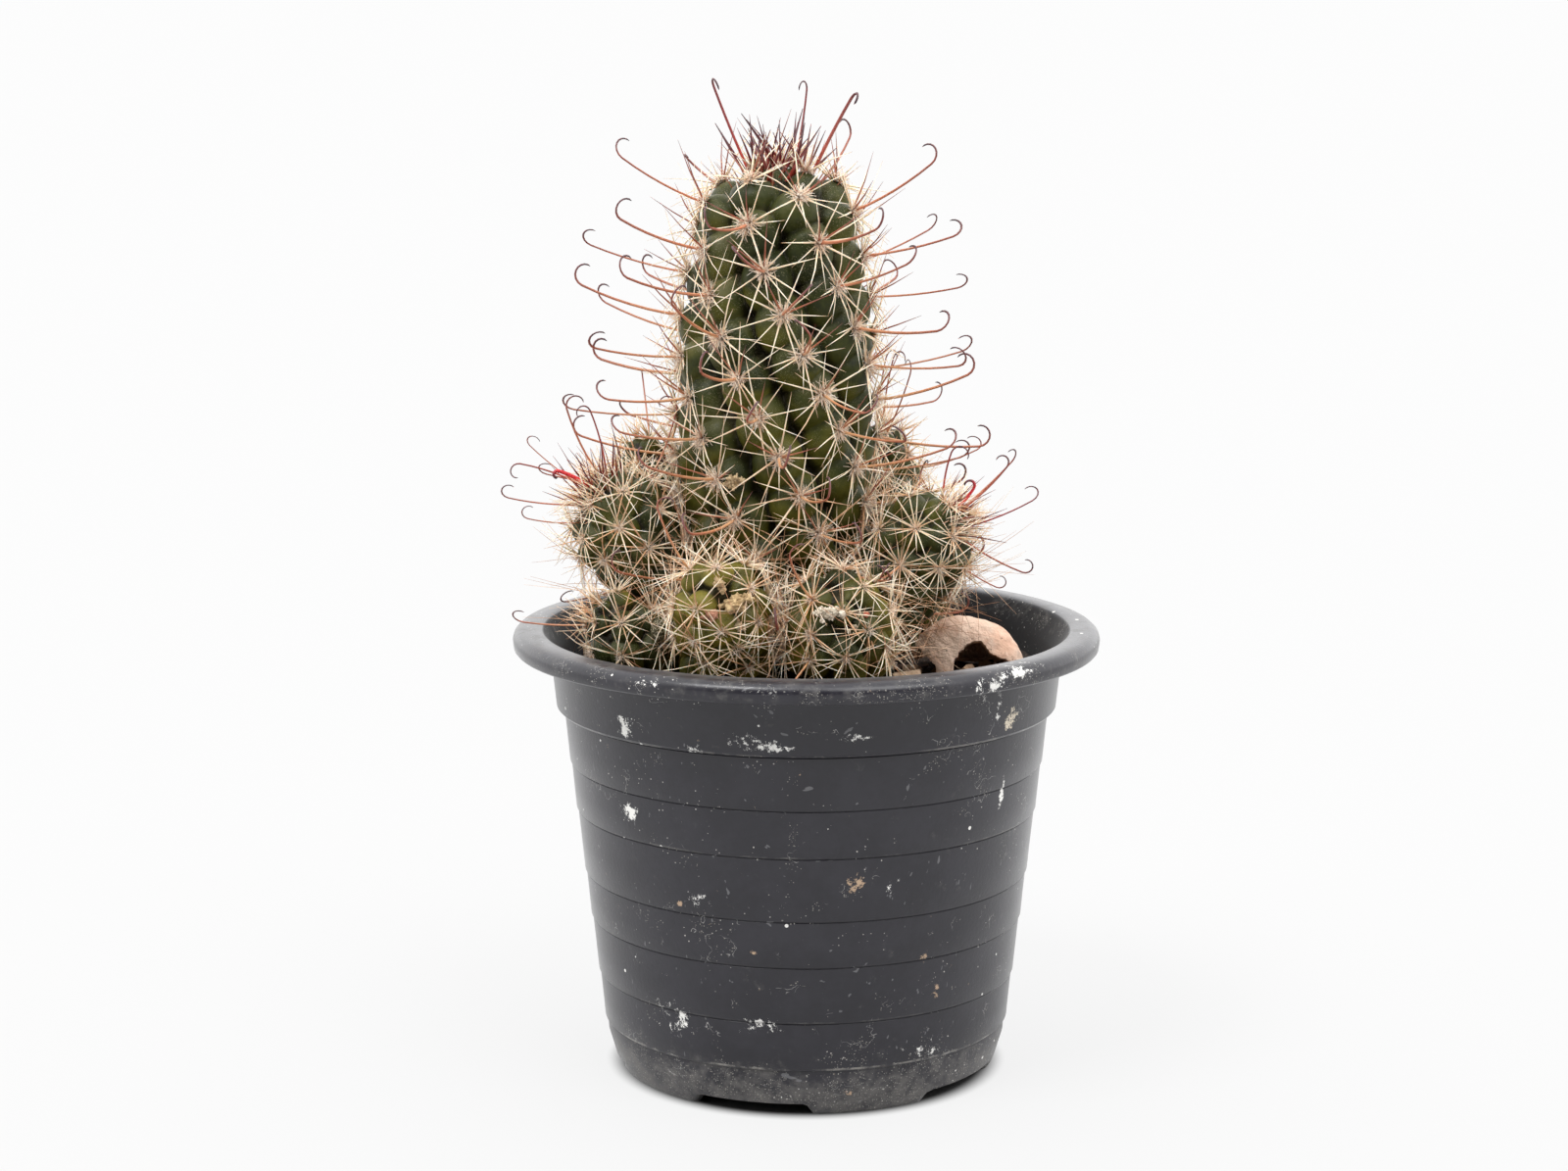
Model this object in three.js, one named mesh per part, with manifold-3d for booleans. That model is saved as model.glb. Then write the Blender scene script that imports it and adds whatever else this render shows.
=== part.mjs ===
// Potted fishhook cactus: one tall column with smaller offsets round its foot, in a plastic nursery pot.
// Millimetres, +Z up. The pot stands on z = 0, and its axis is the Z axis.

import * as THREE from "three";
import { ConvexHull } from "three/addons/math/ConvexHull.js";
import { mergeVertices } from "three/addons/utils/BufferGeometryUtils.js";
import Module from "manifold-3d";

const wasm = await Module();
wasm.setup();

// Driving dimensions

const gap = 0.3; // between pieces that touch

const pot = {
  facets: 36,
  height: 76.6,
  rimRadius: 50,
  rimInside: 44.3,
  rimUnderside: 73,
  bandTop: 43.7,
  bandFoot: 42.7,
  ledge: 63, // the band under the rim ends here in a step
  wallTop: 41.5, // outside radius just under that step
  wallFoot: 34.75, // outside radius just above the foot ring
  footRing: 8.6,
  footRadius: 31.4,
  thickness: 1.3,
  floorUnderside: 2.6,
  floorTop: 4.1,
  laps: [8.6, 17, 26.8, 34.8, 45.7, 53.85], // foot of each lapped section of the wall
  lapStep: 0.35,
  feet: 5,
  firstFoot: -71, // degrees from +X
  notchWidth: 17,
  notchHeight: 2.3,
  drainHoles: 5,
  drainRadius: 3.5,
  drainCircle: 19,
};

const soil = {
  facets: 24,
  level: 68.5,
  bump: 0.8,
  heap: [-34, -7], // where old bark lies heaped against the wall
  heapHeight: 3.4,
  heapWidth: 8,
  chips: 16,
  chipSize: 4.6,
  chipFrom: 24,
  chipTo: 38,
};

const husk = {
  centre: [27.4, -1, soil.level + 0.35],
  radii: [10.7, 7.4, 9.4],
  wall: 1.2,
  turn: -12, // degrees about Z
  mouth: [[-1.7, -2], [-1.3, 2.6], [-0.4, 4.4], [1.1, 6], [3.3, 6.4], [4.7, 5], [6, 3.8], [8.3, 2.7], [9, 0]],
  notch: [[-12, -2], [-12, 5], [-9.2, 5.2], [-7.6, 4.2], [-5.8, 3], [-4.4, 1.6], [-4, -2]],
};

const divergence = 223.5; // degrees from each areole to the next one up the stem
const reach = 52; // no spine ends further than this from the pot's axis

// Where a stem starts, the point that its axis bends towards, its top, and its size at the tubercle tips.
// It is narrower by the share waist at its foot and full again at the share waistEnd of its length. It is
// narrower by the share narrow above its shoulder, which starts that far below the top. area is the surface
// that each areole has to itself; where the stem's radius falls below crownRadius the areoles are smaller.
const column = {
  name: "stem_main", base: [-5, 0, 60], bend: [-5.6, 0, 108], top: [-4.6, 0, 154.6],
  radius: 16.8, dome: 9, waist: 0.12, waistEnd: 0.45, shoulder: 34, narrow: 0.17, tubercle: 3.4, facets: 10,
  area: 85, crownRadius: 8, blunt: true, needles: [3, 2], needle: 9.6, hookEvery: 3, hook: 17.5, curl: 1.8,
  firstAngle: 356,
};
// The three hooked spines at the very top: where each stands, which way it rises, which way it curls, its
// length before the curl, the curl's radius as bow, and the degrees that it starts off bent to the curl.
const crown = [
  { point: [-9.2, -1, 152.6], rise: [-0.41, 0, 1], curl: [0.3, -1, 0], hook: 16.2, bow: 1.35, bend: -9 },
  { point: [-2.4, 1.5, 153.2], rise: [0.17, 0.05, 1], curl: [-0.5, -0.9, 0], hook: 14, bow: 1.35, bend: -8 },
  { point: [0.4, -1, 152], rise: [0.5, 0, 1], curl: [0.35, -1, 0], hook: 15.3, bow: 1.35, bend: -6 },
];
const offset = {
  dome: 10, waist: 0.25, waistEnd: 0.45, shoulder: 1, narrow: 0, tubercle: 1.9, facets: 8, area: 40,
  crownRadius: 5, needles: [2, 1], needle: 6.6, hookEvery: 6, hook: 13.4, curl: 1.5, firstAngle: 20,
};
const offsets = [
  {
    name: "offset_upper_left", base: [-21, -5, 61], bend: [-21.5, -5.5, 88], top: [-37, -7.5, 101.5],
    radius: 9.2, waist: 0.55, waistEnd: 0.85, hookEvery: 4, firstAngle: 200,
  },
  {
    name: "offset_lower_left", base: [-23, -15, 61], bend: [-27, -16, 78], top: [-35, -19.5, 83.5],
    radius: 7.4, firstAngle: 114,
  },
  {
    name: "offset_front_left", base: [-12.5, -19, 61], bend: [-14, -22, 86], top: [-14.8, -33.4, 89],
    radius: 8.4, crownRadius: 3.5, hookEvery: 11, firstAngle: 150,
  },
  {
    name: "offset_front_right", base: [4, -18, 61], bend: [5, -22, 82], top: [6, -33, 87],
    radius: 9.4, crownRadius: 3.5, hookEvery: 11, firstAngle: 12,
  },
  {
    name: "offset_right", base: [11.6, -9.5, 61], bend: [10.6, -10.5, 90], top: [26.5, -10, 97.5],
    radius: 9.2, waist: 0.58, waistEnd: 0.85, hookEvery: 5, firstAngle: 342,
  },
  {
    name: "offset_back_right", base: [9, 15, 61], bend: [9, 16.5, 92], top: [14.5, 18, 108.5],
    radius: 7.8, firstAngle: 80,
  },
  {
    name: "offset_low_right", base: [18, 17, 61], bend: [18, 19, 79], top: [22, 24, 86],
    radius: 6.4, firstAngle: 40,
  },
  {
    name: "offset_back", base: [-4, 20, 61], bend: [-4, 24, 86], top: [-5.4, 33, 95],
    radius: 9,
  },
  {
    name: "offset_back_left", base: [-20, 12, 61], bend: [-22, 13, 90], top: [-29, 15, 107],
    radius: 8.2,
  },
].map((own) => ({ ...offset, ...own }));

const colours = {
  pot: { color: 0x3a3a3f, roughness: 0.5 },
  soil: { color: 0x3a2a20, roughness: 1 },
  husk: { color: 0xb59a86, roughness: 0.8 },
  stem: { color: 0x4a5638, roughness: 0.7 },
};

// Small helpers

const radians = THREE.MathUtils.degToRad;
const vector = (list) => new THREE.Vector3(...list);
const clamp = THREE.MathUtils.clamp;

// The same number between 0 and 1 for the same index and channel.
function draw(index, channel) {
  const wave = Math.sin(index * 12.9898 + channel * 78.233) * 43758.5453;
  return wave - Math.floor(wave);
}

function solidOf(geometry) {
  const bare = geometry.index ? geometry.clone() : geometry;
  bare.deleteAttribute("normal");
  bare.deleteAttribute("uv");
  const merged = mergeVertices(bare, 1e-4);
  const vertProperties = new Float32Array(merged.attributes.position.array);
  const triVerts = new Uint32Array(merged.index.array);
  return new wasm.Manifold(new wasm.Mesh({ numProp: 3, vertProperties, triVerts }));
}

function geometryOf(solid) {
  const mesh = solid.getMesh();
  const geometry = new THREE.BufferGeometry();
  geometry.setAttribute("position", new THREE.BufferAttribute(mesh.vertProperties, 3));
  geometry.setIndex(new THREE.BufferAttribute(mesh.triVerts, 1));
  return geometry;
}

// A joined solid without the loose scraps that cutting can leave.
function largestPiece(solid) {
  const pieces = solid.decompose();
  return pieces.reduce((best, piece) => (piece.volume() > best.volume() ? piece : best));
}

function place(geometry, position, rotation = [0, 0, 0], scale = [1, 1, 1]) {
  const turn = new THREE.Quaternion().setFromEuler(new THREE.Euler(...rotation));
  return geometry.applyMatrix4(new THREE.Matrix4().compose(vector(position), turn, vector(scale)));
}

// A profile of [radius, height] pairs turned about Z.
function turned(profile, facets) {
  const points = profile.map(([radius, height]) => new THREE.Vector2(radius, height));
  const geometry = new THREE.LatheGeometry(points, facets);
  return geometry.rotateX(Math.PI / 2);
}

// Pot

const wallSlope = (pot.wallTop - pot.wallFoot) / (pot.ledge - pot.footRing);
const wallRadius = (z) => pot.wallFoot + (z - pot.footRing) * wallSlope;

const insideProfile = [
  [wallRadius(pot.footRing) - pot.thickness - 0.6, pot.floorTop],
  [wallRadius(pot.ledge) - pot.thickness, pot.ledge - 1],
  [pot.bandFoot - pot.thickness, pot.ledge + 1],
  [pot.bandTop - pot.thickness, pot.rimUnderside - 1],
  [pot.rimInside, pot.height - 0.4],
];

function makePot() {
  const profile = [
    [0, pot.floorUnderside],
    [pot.footRadius - 1.6, pot.floorUnderside],
    [pot.footRadius - 1.5, 0],
    [pot.footRadius, 0],
    [pot.footRadius + 1.6, 1.8],
    [pot.wallFoot - 0.9, 4.6],
    [pot.wallFoot - 0.3, pot.footRing],
  ];
  pot.laps.forEach((foot, i) => {
    const next = pot.laps[i + 1] ?? pot.ledge;
    profile.push([wallRadius(foot) + pot.lapStep / 2, foot]);
    profile.push([wallRadius(next) - pot.lapStep / 2, next]);
  });
  profile.push(
    [pot.bandFoot, pot.ledge],
    [pot.bandTop, pot.rimUnderside],
    [pot.rimRadius - 0.5, pot.rimUnderside],
    [pot.rimRadius, pot.height - 1.2],
    [pot.rimRadius - 1, pot.height],
    [pot.rimInside + 1, pot.height],
    ...insideProfile.toReversed(),
    [0, pot.floorTop],
  );
  let solid = solidOf(turned(profile, pot.facets));
  for (let i = 0; i < pot.feet; i++) {
    const angle = radians(pot.firstFoot + (360 / pot.feet) * (i + 0.5));
    const depth = 8;
    const notch = new THREE.BoxGeometry(depth, pot.notchWidth, pot.notchHeight * 2);
    const reach = pot.footRadius + 0.5;
    const at = [Math.cos(angle) * reach, Math.sin(angle) * reach, 0];
    solid = solid.subtract(solidOf(place(notch, at, [0, 0, angle])));
  }
  for (let i = 0; i < pot.drainHoles; i++) {
    const angle = radians((360 / pot.drainHoles) * i + 10);
    const hole = new THREE.CylinderGeometry(pot.drainRadius, pot.drainRadius, 10, 8).rotateX(Math.PI / 2);
    const at = [Math.cos(angle) * pot.drainCircle, Math.sin(angle) * pot.drainCircle, pot.floorUnderside];
    solid = solid.subtract(solidOf(place(hole, at)));
  }
  return solid;
}

// Stems: a bent body whose surface rises to a tubercle at each areole, and the spines that stand there

function stemOf(spec) {
  const axis = new THREE.QuadraticBezierCurve3(vector(spec.base), vector(spec.bend), vector(spec.top));
  const length = axis.getLength();
  const radiusAt = (t) => {
    const rise = clamp(t / (length * spec.waistEnd), 0, 1);
    const waist = 1 - spec.waist * (1 - rise * rise * (3 - 2 * rise));
    const above = clamp((t - length + spec.shoulder) / (spec.shoulder * 0.8), 0, 1);
    const narrow = 1 - spec.narrow * above * above * (3 - 2 * above);
    const cap = clamp((t - length + spec.dome) / spec.dome, 0, 1);
    return spec.radius * waist * narrow * Math.sqrt(1 - cap * cap);
  };
  const frameAt = (t) => {
    const share = clamp(t / length, 0, 1);
    const along = axis.getTangentAt(share);
    const centre = axis.getPointAt(share).addScaledVector(along, t - share * length);
    const side = new THREE.Vector3(1, 0, 0).addScaledVector(along, -along.x).normalize();
    return { centre, along, side, front: along.clone().cross(side) };
  };
  return { ...spec, length, radiusAt, frameAt };
}

const slopeAt = (stem, t) => (stem.radiusAt(t + 0.1) - stem.radiusAt(t - 0.1)) / 0.2;
const coreRadius = (stem) => (t) => Math.max(stem.radiusAt(t) - stem.tubercle, stem.radiusAt(t) * 0.45);

// Where a point at this height and angle of the stem lies, and which way its surface faces there.
function markAt(stem, t, angle, radius) {
  const { centre, along, side, front } = stem.frameAt(t);
  const outward = side.clone().multiplyScalar(Math.cos(angle)).addScaledVector(front, Math.sin(angle));
  const normal = outward.clone().addScaledVector(along, -slopeAt(stem, t)).normalize();
  return { t, angle, normal, point: centre.addScaledVector(outward, radius) };
}

function areolesOf(stem) {
  const areoles = [];
  let angle = radians(stem.firstAngle);
  let t = 0;
  while (t < stem.length - 0.4) {
    const radius = stem.radiusAt(t);
    const young = t > stem.length / 2 ? clamp(radius / stem.crownRadius, 0.3, 1) : 1;
    const size = Math.sqrt(stem.area) * young;
    const mark = markAt(stem, t, angle, radius);
    if (mark.point.z - size * 0.4 > soil.level + 2) {
      areoles.push({ ...mark, size, young, index: areoles.length });
    }
    const spread = 2 * Math.PI * Math.max(radius, 1.2) * Math.hypot(1, slopeAt(stem, t));
    t += (size * size) / spread;
    angle += radians(divergence);
  }
  return areoles;
}

// A smooth bent solid that holds the stem's underground part or all its tubercle tips, with a gap.
function holderOf(stem, radiusAt) {
  const stations = 8;
  const radius = (t) => radiusAt(t) / Math.cos(Math.PI / stem.facets) + gap;
  const profile = [[0, -gap], [radius(0), -gap]];
  for (let i = 1; i < stations; i++) {
    const t = stem.length * (1 - (1 - i / stations) ** 1.5);
    profile.push([radius(t), t]);
  }
  profile.push([0, stem.length + gap]);
  const geometry = turned(profile, stem.facets);
  const places = geometry.attributes.position;
  for (let i = 0; i < places.count; i++) {
    const { centre, side, front } = stem.frameAt(places.getZ(i));
    centre.addScaledVector(side, places.getX(i)).addScaledVector(front, places.getY(i));
    places.setXYZ(i, centre.x, centre.y, centre.z);
  }
  return solidOf(geometry);
}

const sleeve = (stem) => holderOf(stem, coreRadius(stem));
const envelope = (stem) => holderOf(stem, stem.radiusAt);

// The triangles between neighbouring marks. Spread on a ball without changing the angles between
// them, the marks have the same neighbours, and the ball's hull finds them.
function netOf(stem, marks) {
  const step = stem.length / 400;
  const spread = [0];
  for (let t = step / 2; t < stem.length; t += step) {
    spread.push(spread.at(-1) + (Math.hypot(1, slopeAt(stem, t)) * step) / Math.max(stem.radiusAt(t), 0.5));
  }
  const middle = spread.at(-1) * 0.5;
  const numbers = new Map();
  const ball = marks.map(({ t, angle }, i) => {
    const grown = Math.exp(spread[Math.round(t / step)] - middle);
    const width = (2 * grown) / (1 + grown * grown);
    const height = (grown * grown - 1) / (1 + grown * grown);
    const point = new THREE.Vector3(width * Math.cos(angle), width * Math.sin(angle), height);
    numbers.set(point, i);
    return point;
  });
  return new ConvexHull().setFromPoints(ball).faces.map(({ edge }) =>
    [edge, edge.next, edge.next.next].map((side) => numbers.get(side.head().point)));
}

// Each mark rises out of the valley points in the middle of the triangles round it.
function bodyOf(stem, areoles) {
  const marks = areoles.map((areole) => ({ ...areole, raised: true }));
  const ground = (soil.level + 1.5 - stem.base[2]) / stem.frameAt(0).along.z;
  for (const t of [0, ground]) {
    for (let i = 0; i < stem.facets; i++) {
      marks.push(markAt(stem, t, (2 * Math.PI * (i + t / ground / 2)) / stem.facets, coreRadius(stem)(t)));
    }
  }
  const corners = marks.map(({ point }) => point);
  const across = new Map();
  for (const face of netOf(stem, marks)) {
    const valley = new THREE.Vector3();
    for (const i of face) {
      valley.addScaledVector(marks[i].point, 1 / 3);
      if (marks[i].raised) valley.addScaledVector(marks[i].normal, -stem.tubercle * marks[i].young / 3);
    }
    corners.push(valley);
    for (let k = 0; k < 3; k++) across.set(`${face[k]} ${face[(k + 1) % 3]}`, corners.length - 1);
  }
  const faces = [];
  const shoulders = new Map();
  const shoulderOf = (mark, valley) => {
    const key = `${mark} ${valley}`;
    if (!shoulders.has(key)) {
      const { point, normal, young } = marks[mark];
      const shoulder = point.clone().lerp(corners[valley], 0.38);
      corners.push(shoulder.addScaledVector(normal, stem.tubercle * young * 0.24));
      shoulders.set(key, corners.length - 1);
    }
    return shoulders.get(key);
  };
  for (const [edge, left] of across) {
    const [from, to] = edge.split(" ").map(Number);
    const right = across.get(`${to} ${from}`);
    if (stem.blunt && marks[from].raised) {
      const [a, b] = [shoulderOf(from, left), shoulderOf(from, right)];
      faces.push(from, b, a, a, b, right, a, right, left);
    } else {
      faces.push(from, right, left);
    }
  }
  const geometry = new THREE.BufferGeometry();
  const flat = corners.flatMap((corner) => corner.toArray());
  geometry.setAttribute("position", new THREE.Float32BufferAttribute(flat, 3));
  geometry.setIndex(faces);
  return solidOf(geometry);
}

// A spine of three sides through the given points, from its root radius to a point.
function spineOf(points, radius) {
  const last = points.length - 1;
  const corners = [];
  const faces = [];
  let across = new THREE.Vector3(0.3, 0.5, 0.8);
  for (let i = 0; i < last; i++) {
    const before = points[Math.max(i - 1, 0)];
    const along = points[i + 1].clone().sub(before).normalize();
    across = across.addScaledVector(along, -across.dot(along)).normalize();
    const other = along.clone().cross(across);
    for (let k = 0; k < 3; k++) {
      const angle = (2 * Math.PI * k) / 3;
      const size = radius * (1 - (0.5 * i) / last);
      const corner = points[i].clone().addScaledVector(across, Math.cos(angle) * size);
      corners.push(corner.addScaledVector(other, Math.sin(angle) * size));
    }
    for (let k = 0; k < 3 && i > 0; k++) {
      const [a, b] = [i * 3 - 3 + k, i * 3 - 3 + ((k + 1) % 3)];
      faces.push(a, b, b + 3, a, b + 3, a + 3);
    }
  }
  corners.push(points[last]);
  faces.push(0, 2, 1);
  for (let k = 0; k < 3; k++) {
    faces.push(last * 3 - 3 + k, last * 3 - 3 + ((k + 1) % 3), last * 3);
  }
  const geometry = new THREE.BufferGeometry();
  const flat = corners.flatMap((corner) => corner.toArray());
  geometry.setAttribute("position", new THREE.Float32BufferAttribute(flat, 3));
  geometry.setIndex(faces);
  return solidOf(geometry);
}

// The direction in an areole's face that points up its stem or, at the top, up.
function upwardOf(normal) {
  const up = new THREE.Vector3(0, 0, 1).addScaledVector(normal, -normal.z);
  return up.lengthSq() > 0.05 ? up.normalize() : new THREE.Vector3(0, -1, 0);
}

const needlesAt = (stem, index) => stem.needles[index % stem.needles.length];

function straightSpine(stem, areole, k) {
  const { point: tip, normal, young, index } = areole;
  const up = upwardOf(normal);
  const across = normal.clone().cross(up);
  const count = needlesAt(stem, index);
  const angle = (2 * Math.PI * (k + draw(index, k + 3) * 0.6)) / count + index * 1.1;
  const lift = radians(18 + 30 * (1 - young) + 14 * draw(index, k + 7));
  const flat = up.clone().multiplyScalar(Math.cos(angle)).addScaledVector(across, Math.sin(angle));
  const along = flat.multiplyScalar(Math.cos(lift)).addScaledVector(normal, Math.sin(lift));
  const root = tip.clone().addScaledVector(normal, -1).addScaledVector(along, -0.2);
  const reach = stem.needle * (0.85 + 0.3 * draw(index, k + 11));
  return [root, tip.clone().addScaledVector(along, reach)];
}

// A hooked spine stands out of its areole, bows a little and curls back at its end.
function hookedSpine(stem, areole) {
  const { point: tip, normal, index } = areole;
  const up = upwardOf(normal);
  const across = normal.clone().cross(up);
  const lean = radians(-50 + 100 * draw(index, 21));
  const sideways = up.clone().multiplyScalar(Math.cos(lean)).addScaledVector(across, Math.sin(lean));
  const curlTo = areole.curl ?? sideways;
  const shaft = areole.hook ?? stem.hook * (0.85 + 0.2 * draw(index, 23));
  const bow = areole.bow ?? stem.curl;
  const points = [tip.clone().addScaledVector(normal, -1.2)];
  let heading = radians(areole.bend ?? -14 + 24 * draw(index, 25));
  const here = tip.clone();
  const walk = (distance) => {
    here.addScaledVector(normal, Math.cos(heading) * distance);
    here.addScaledVector(curlTo, Math.sin(heading) * distance);
    points.push(here.clone());
  };
  for (let i = 0; i < 2; i++) {
    walk(shaft / 2);
    heading += radians(9);
  }
  const bends = 4;
  for (let i = 0; i < bends; i++) {
    heading += radians(200 / bends / 2);
    walk(2 * bow * Math.sin(radians(200 / bends / 2)));
    heading += radians(200 / bends / 2);
  }
  return points;
}

// Clearance tests that keep each spine out of everything but its own stem

function segmentDistance(a, b, c, d) {
  const u = b.clone().sub(a);
  const v = d.clone().sub(c);
  const w = a.clone().sub(c);
  const [uu, uv, vv, uw, vw] = [u.dot(u), u.dot(v), v.dot(v), u.dot(w), v.dot(w)];
  const area = uu * vv - uv * uv;
  let s = area > 1e-9 ? clamp((uv * vw - vv * uw) / area, 0, 1) : 0;
  const r = clamp((uv * s + vw) / vv, 0, 1);
  s = clamp((uv * r - uw) / uu, 0, 1);
  return w.addScaledVector(u, s).addScaledVector(v, -r).length();
}

function nearStem(point, stem, margin) {
  const steps = 16;
  for (let i = 0; i <= steps; i++) {
    const t = (stem.length * i) / steps;
    const radius = Math.max(stem.radiusAt(t), stem.radius * 0.5);
    if (stem.frameAt(t).centre.distanceTo(point) < radius + margin) return true;
  }
  return false;
}

function nearPot({ x, y, z }) {
  const radius = Math.hypot(x, y);
  if (z < soil.level + 1.6 || radius > reach) return true;
  const inner = z < pot.rimUnderside - 1 ? pot.bandFoot - pot.thickness : pot.bandTop - pot.thickness;
  return z < pot.height + 0.8 && radius > inner - 1;
}

function nearHusk(point) {
  const away = point.clone().sub(vector(husk.centre));
  return away.length() < Math.max(...husk.radii) + 1;
}

function isClear(points, stem, others, taken) {
  for (let i = 0; i + 1 < points.length; i++) {
    const from = i === 0 ? points[0].clone().lerp(points[1], 0.3) : points[i];
    const steps = Math.ceil(from.distanceTo(points[i + 1]) / 0.8);
    for (let k = 0; k <= steps; k++) {
      const point = from.clone().lerp(points[i + 1], k / steps);
      if (nearPot(point) || nearHusk(point)) return false;
      if (others.some((other) => nearStem(point, other, 0.6))) return false;
    }
    if (taken.some((piece) => piece.owner !== stem.name
      && segmentDistance(points[i], points[i + 1], piece.from, piece.to) < 1.1)) return false;
  }
  return true;
}

function makeStem(stem, stems, taken) {
  const others = stems.filter((other) => other !== stem);
  const areoles = areolesOf(stem);
  const spines = [];
  const addSpine = (points, radius) => {
    if (!isClear(points, stem, others, taken)) return;
    spines.push(spineOf(points, radius));
    for (let i = 0; i + 1 < points.length; i++) {
      taken.push({ owner: stem.name, from: points[i], to: points[i + 1] });
    }
  };
  for (const areole of areoles) {
    for (let k = 0; k < needlesAt(stem, areole.index); k++) {
      addSpine(straightSpine(stem, areole, k), 0.34);
    }
    const belowCrown = stem !== stems[0] || areole.normal.z < 0.6;
    if (areole.index % stem.hookEvery === 0 && belowCrown) addSpine(hookedSpine(stem, areole), 0.42);
  }
  if (stem === stems[0]) {
    crown.forEach((spine, index) => {
      const normal = vector(spine.rise).normalize();
      const curl = vector(spine.curl);
      curl.addScaledVector(normal, -curl.dot(normal)).normalize();
      addSpine(hookedSpine(stem, { ...spine, point: vector(spine.point), normal, curl, index }), 0.42);
    });
  }
  let solid = bodyOf(stem, areoles);
  for (const earlier of stems.slice(0, stems.indexOf(stem))) {
    solid = solid.subtract(envelope(earlier));
  }
  return largestPiece(wasm.Manifold.union([solid, ...spines]));
}

// Soil: it fills the pot, with shallow bumps and half-sunk chips on top, and a plain hole for each stem

function soilHeight(x, y) {
  const fromHusk = Math.hypot(x - husk.centre[0], y - husk.centre[1]) / Math.max(...husk.radii);
  const rough = Math.sin(x * 0.41 + 1) * Math.cos(y * 0.37) + 0.5 * Math.sin(x * 0.9 - y * 0.8);
  const fromHeap = Math.hypot(x - soil.heap[0], y - soil.heap[1]) / soil.heapWidth;
  const heap = soil.heapHeight * Math.exp(-fromHeap * fromHeap);
  return soil.level + heap + soil.bump * rough * clamp(fromHusk - 1, 0, 1) * 0.6;
}

function makeSoil(stems) {
  const side = insideProfile.slice(0, 3).map(([radius, height]) => [radius - gap, height + gap]);
  const share = (soil.level - side[2][1]) / (insideProfile[3][1] - insideProfile[2][1]);
  const edge = side[2][0] + share * (insideProfile[3][0] - insideProfile[2][0]);
  const rings = [1, 0.75, 0.5, 0.25].map((part) => [edge * part, soil.level]);
  const geometry = turned([[0, side[0][1]], ...side, ...rings, [0, soil.level]], soil.facets);
  const places = geometry.attributes.position;
  for (let i = 0; i < places.count; i++) {
    const [x, y, z] = [places.getX(i), places.getY(i), places.getZ(i)];
    if (z > soil.level - 0.01) places.setZ(i, soilHeight(x, y));
  }
  const pieces = [solidOf(geometry)];
  for (let i = 0; i < soil.chips; i++) {
    const angle = radians(i * 137.5 + 40);
    const radius = soil.chipFrom + (soil.chipTo - soil.chipFrom) * draw(i, 31);
    const at = new THREE.Vector3(Math.cos(angle) * radius, Math.sin(angle) * radius, soil.level + 0.2);
    const blocked = nearHusk(at) || stems.some((stem) => nearStem(at, stem, soil.chipSize * 0.9));
    if (blocked) continue;
    const shares = [0.7 + 0.6 * draw(i, 33), 0.6 + 0.4 * draw(i, 35), 0.5];
    const size = shares.map((share) => share * soil.chipSize);
    const turn = [draw(i, 37) * 0.6, draw(i, 39) * 0.6, draw(i, 41) * Math.PI];
    pieces.push(solidOf(place(new THREE.OctahedronGeometry(0.6), at.toArray(), turn, size)));
  }
  let solid = wasm.Manifold.union(pieces);
  for (const stem of stems) solid = solid.subtract(sleeve(stem));
  return largestPiece(solid);
}

// Husk: a dry half shell, open below, with a torn mouth in front and a torn corner at the left

function makeHusk() {
  const { radii, wall } = husk;
  const dome = (extra) => {
    const geometry = new THREE.SphereGeometry(1, 18, 12).rotateX(Math.PI / 2);
    return solidOf(place(geometry, [0, 0, 0], [0, 0, 0], radii.map((radius) => radius + extra)));
  };
  const above = solidOf(place(new THREE.BoxGeometry(40, 40, 20), [0, 0, 10]));
  const cutter = (outline, from, depth) => {
    const shape = new THREE.Shape(outline.map(([x, z]) => new THREE.Vector2(x, z)));
    const geometry = new THREE.ExtrudeGeometry(shape, { depth, bevelEnabled: false });
    return solidOf(place(geometry.rotateX(Math.PI / 2), [0, from, 0]));
  };
  const shell = dome(0).subtract(dome(-wall)).intersect(above);
  const torn = shell.subtract(cutter(husk.mouth, 0, 20)).subtract(cutter(husk.notch, 20, 40));
  return largestPiece(torn).rotate([0, 0, husk.turn]).translate(husk.centre);
}

// The plant in its pot

const group = new THREE.Group();

function addPiece(name, solid, finish) {
  const material = new THREE.MeshStandardMaterial({ ...finish, metalness: 0 });
  const mesh = new THREE.Mesh(geometryOf(solid), material);
  mesh.name = name;
  group.add(mesh);
}

const stems = [column, ...offsets].map(stemOf);
const taken = [];

addPiece("pot", makePot(), colours.pot);
addPiece("soil", makeSoil(stems), colours.soil);
addPiece("husk", makeHusk(), colours.husk);
for (const stem of stems) {
  addPiece(stem.name, makeStem(stem, stems, taken), colours.stem);
}

export default group;
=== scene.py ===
import math

import bmesh
import bpy
import numpy as np
from mathutils import Matrix, Vector, noise
from mathutils.kdtree import KDTree


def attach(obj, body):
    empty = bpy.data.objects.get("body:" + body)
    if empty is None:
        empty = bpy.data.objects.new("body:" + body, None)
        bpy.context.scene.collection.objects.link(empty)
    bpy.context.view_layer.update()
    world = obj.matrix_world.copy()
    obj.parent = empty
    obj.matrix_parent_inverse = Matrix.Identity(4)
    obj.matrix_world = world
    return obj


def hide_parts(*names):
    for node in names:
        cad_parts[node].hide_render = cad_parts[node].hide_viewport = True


# The potted fishhook cactus. Lengths are in millimetres until addMesh turns them into metres.

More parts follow.
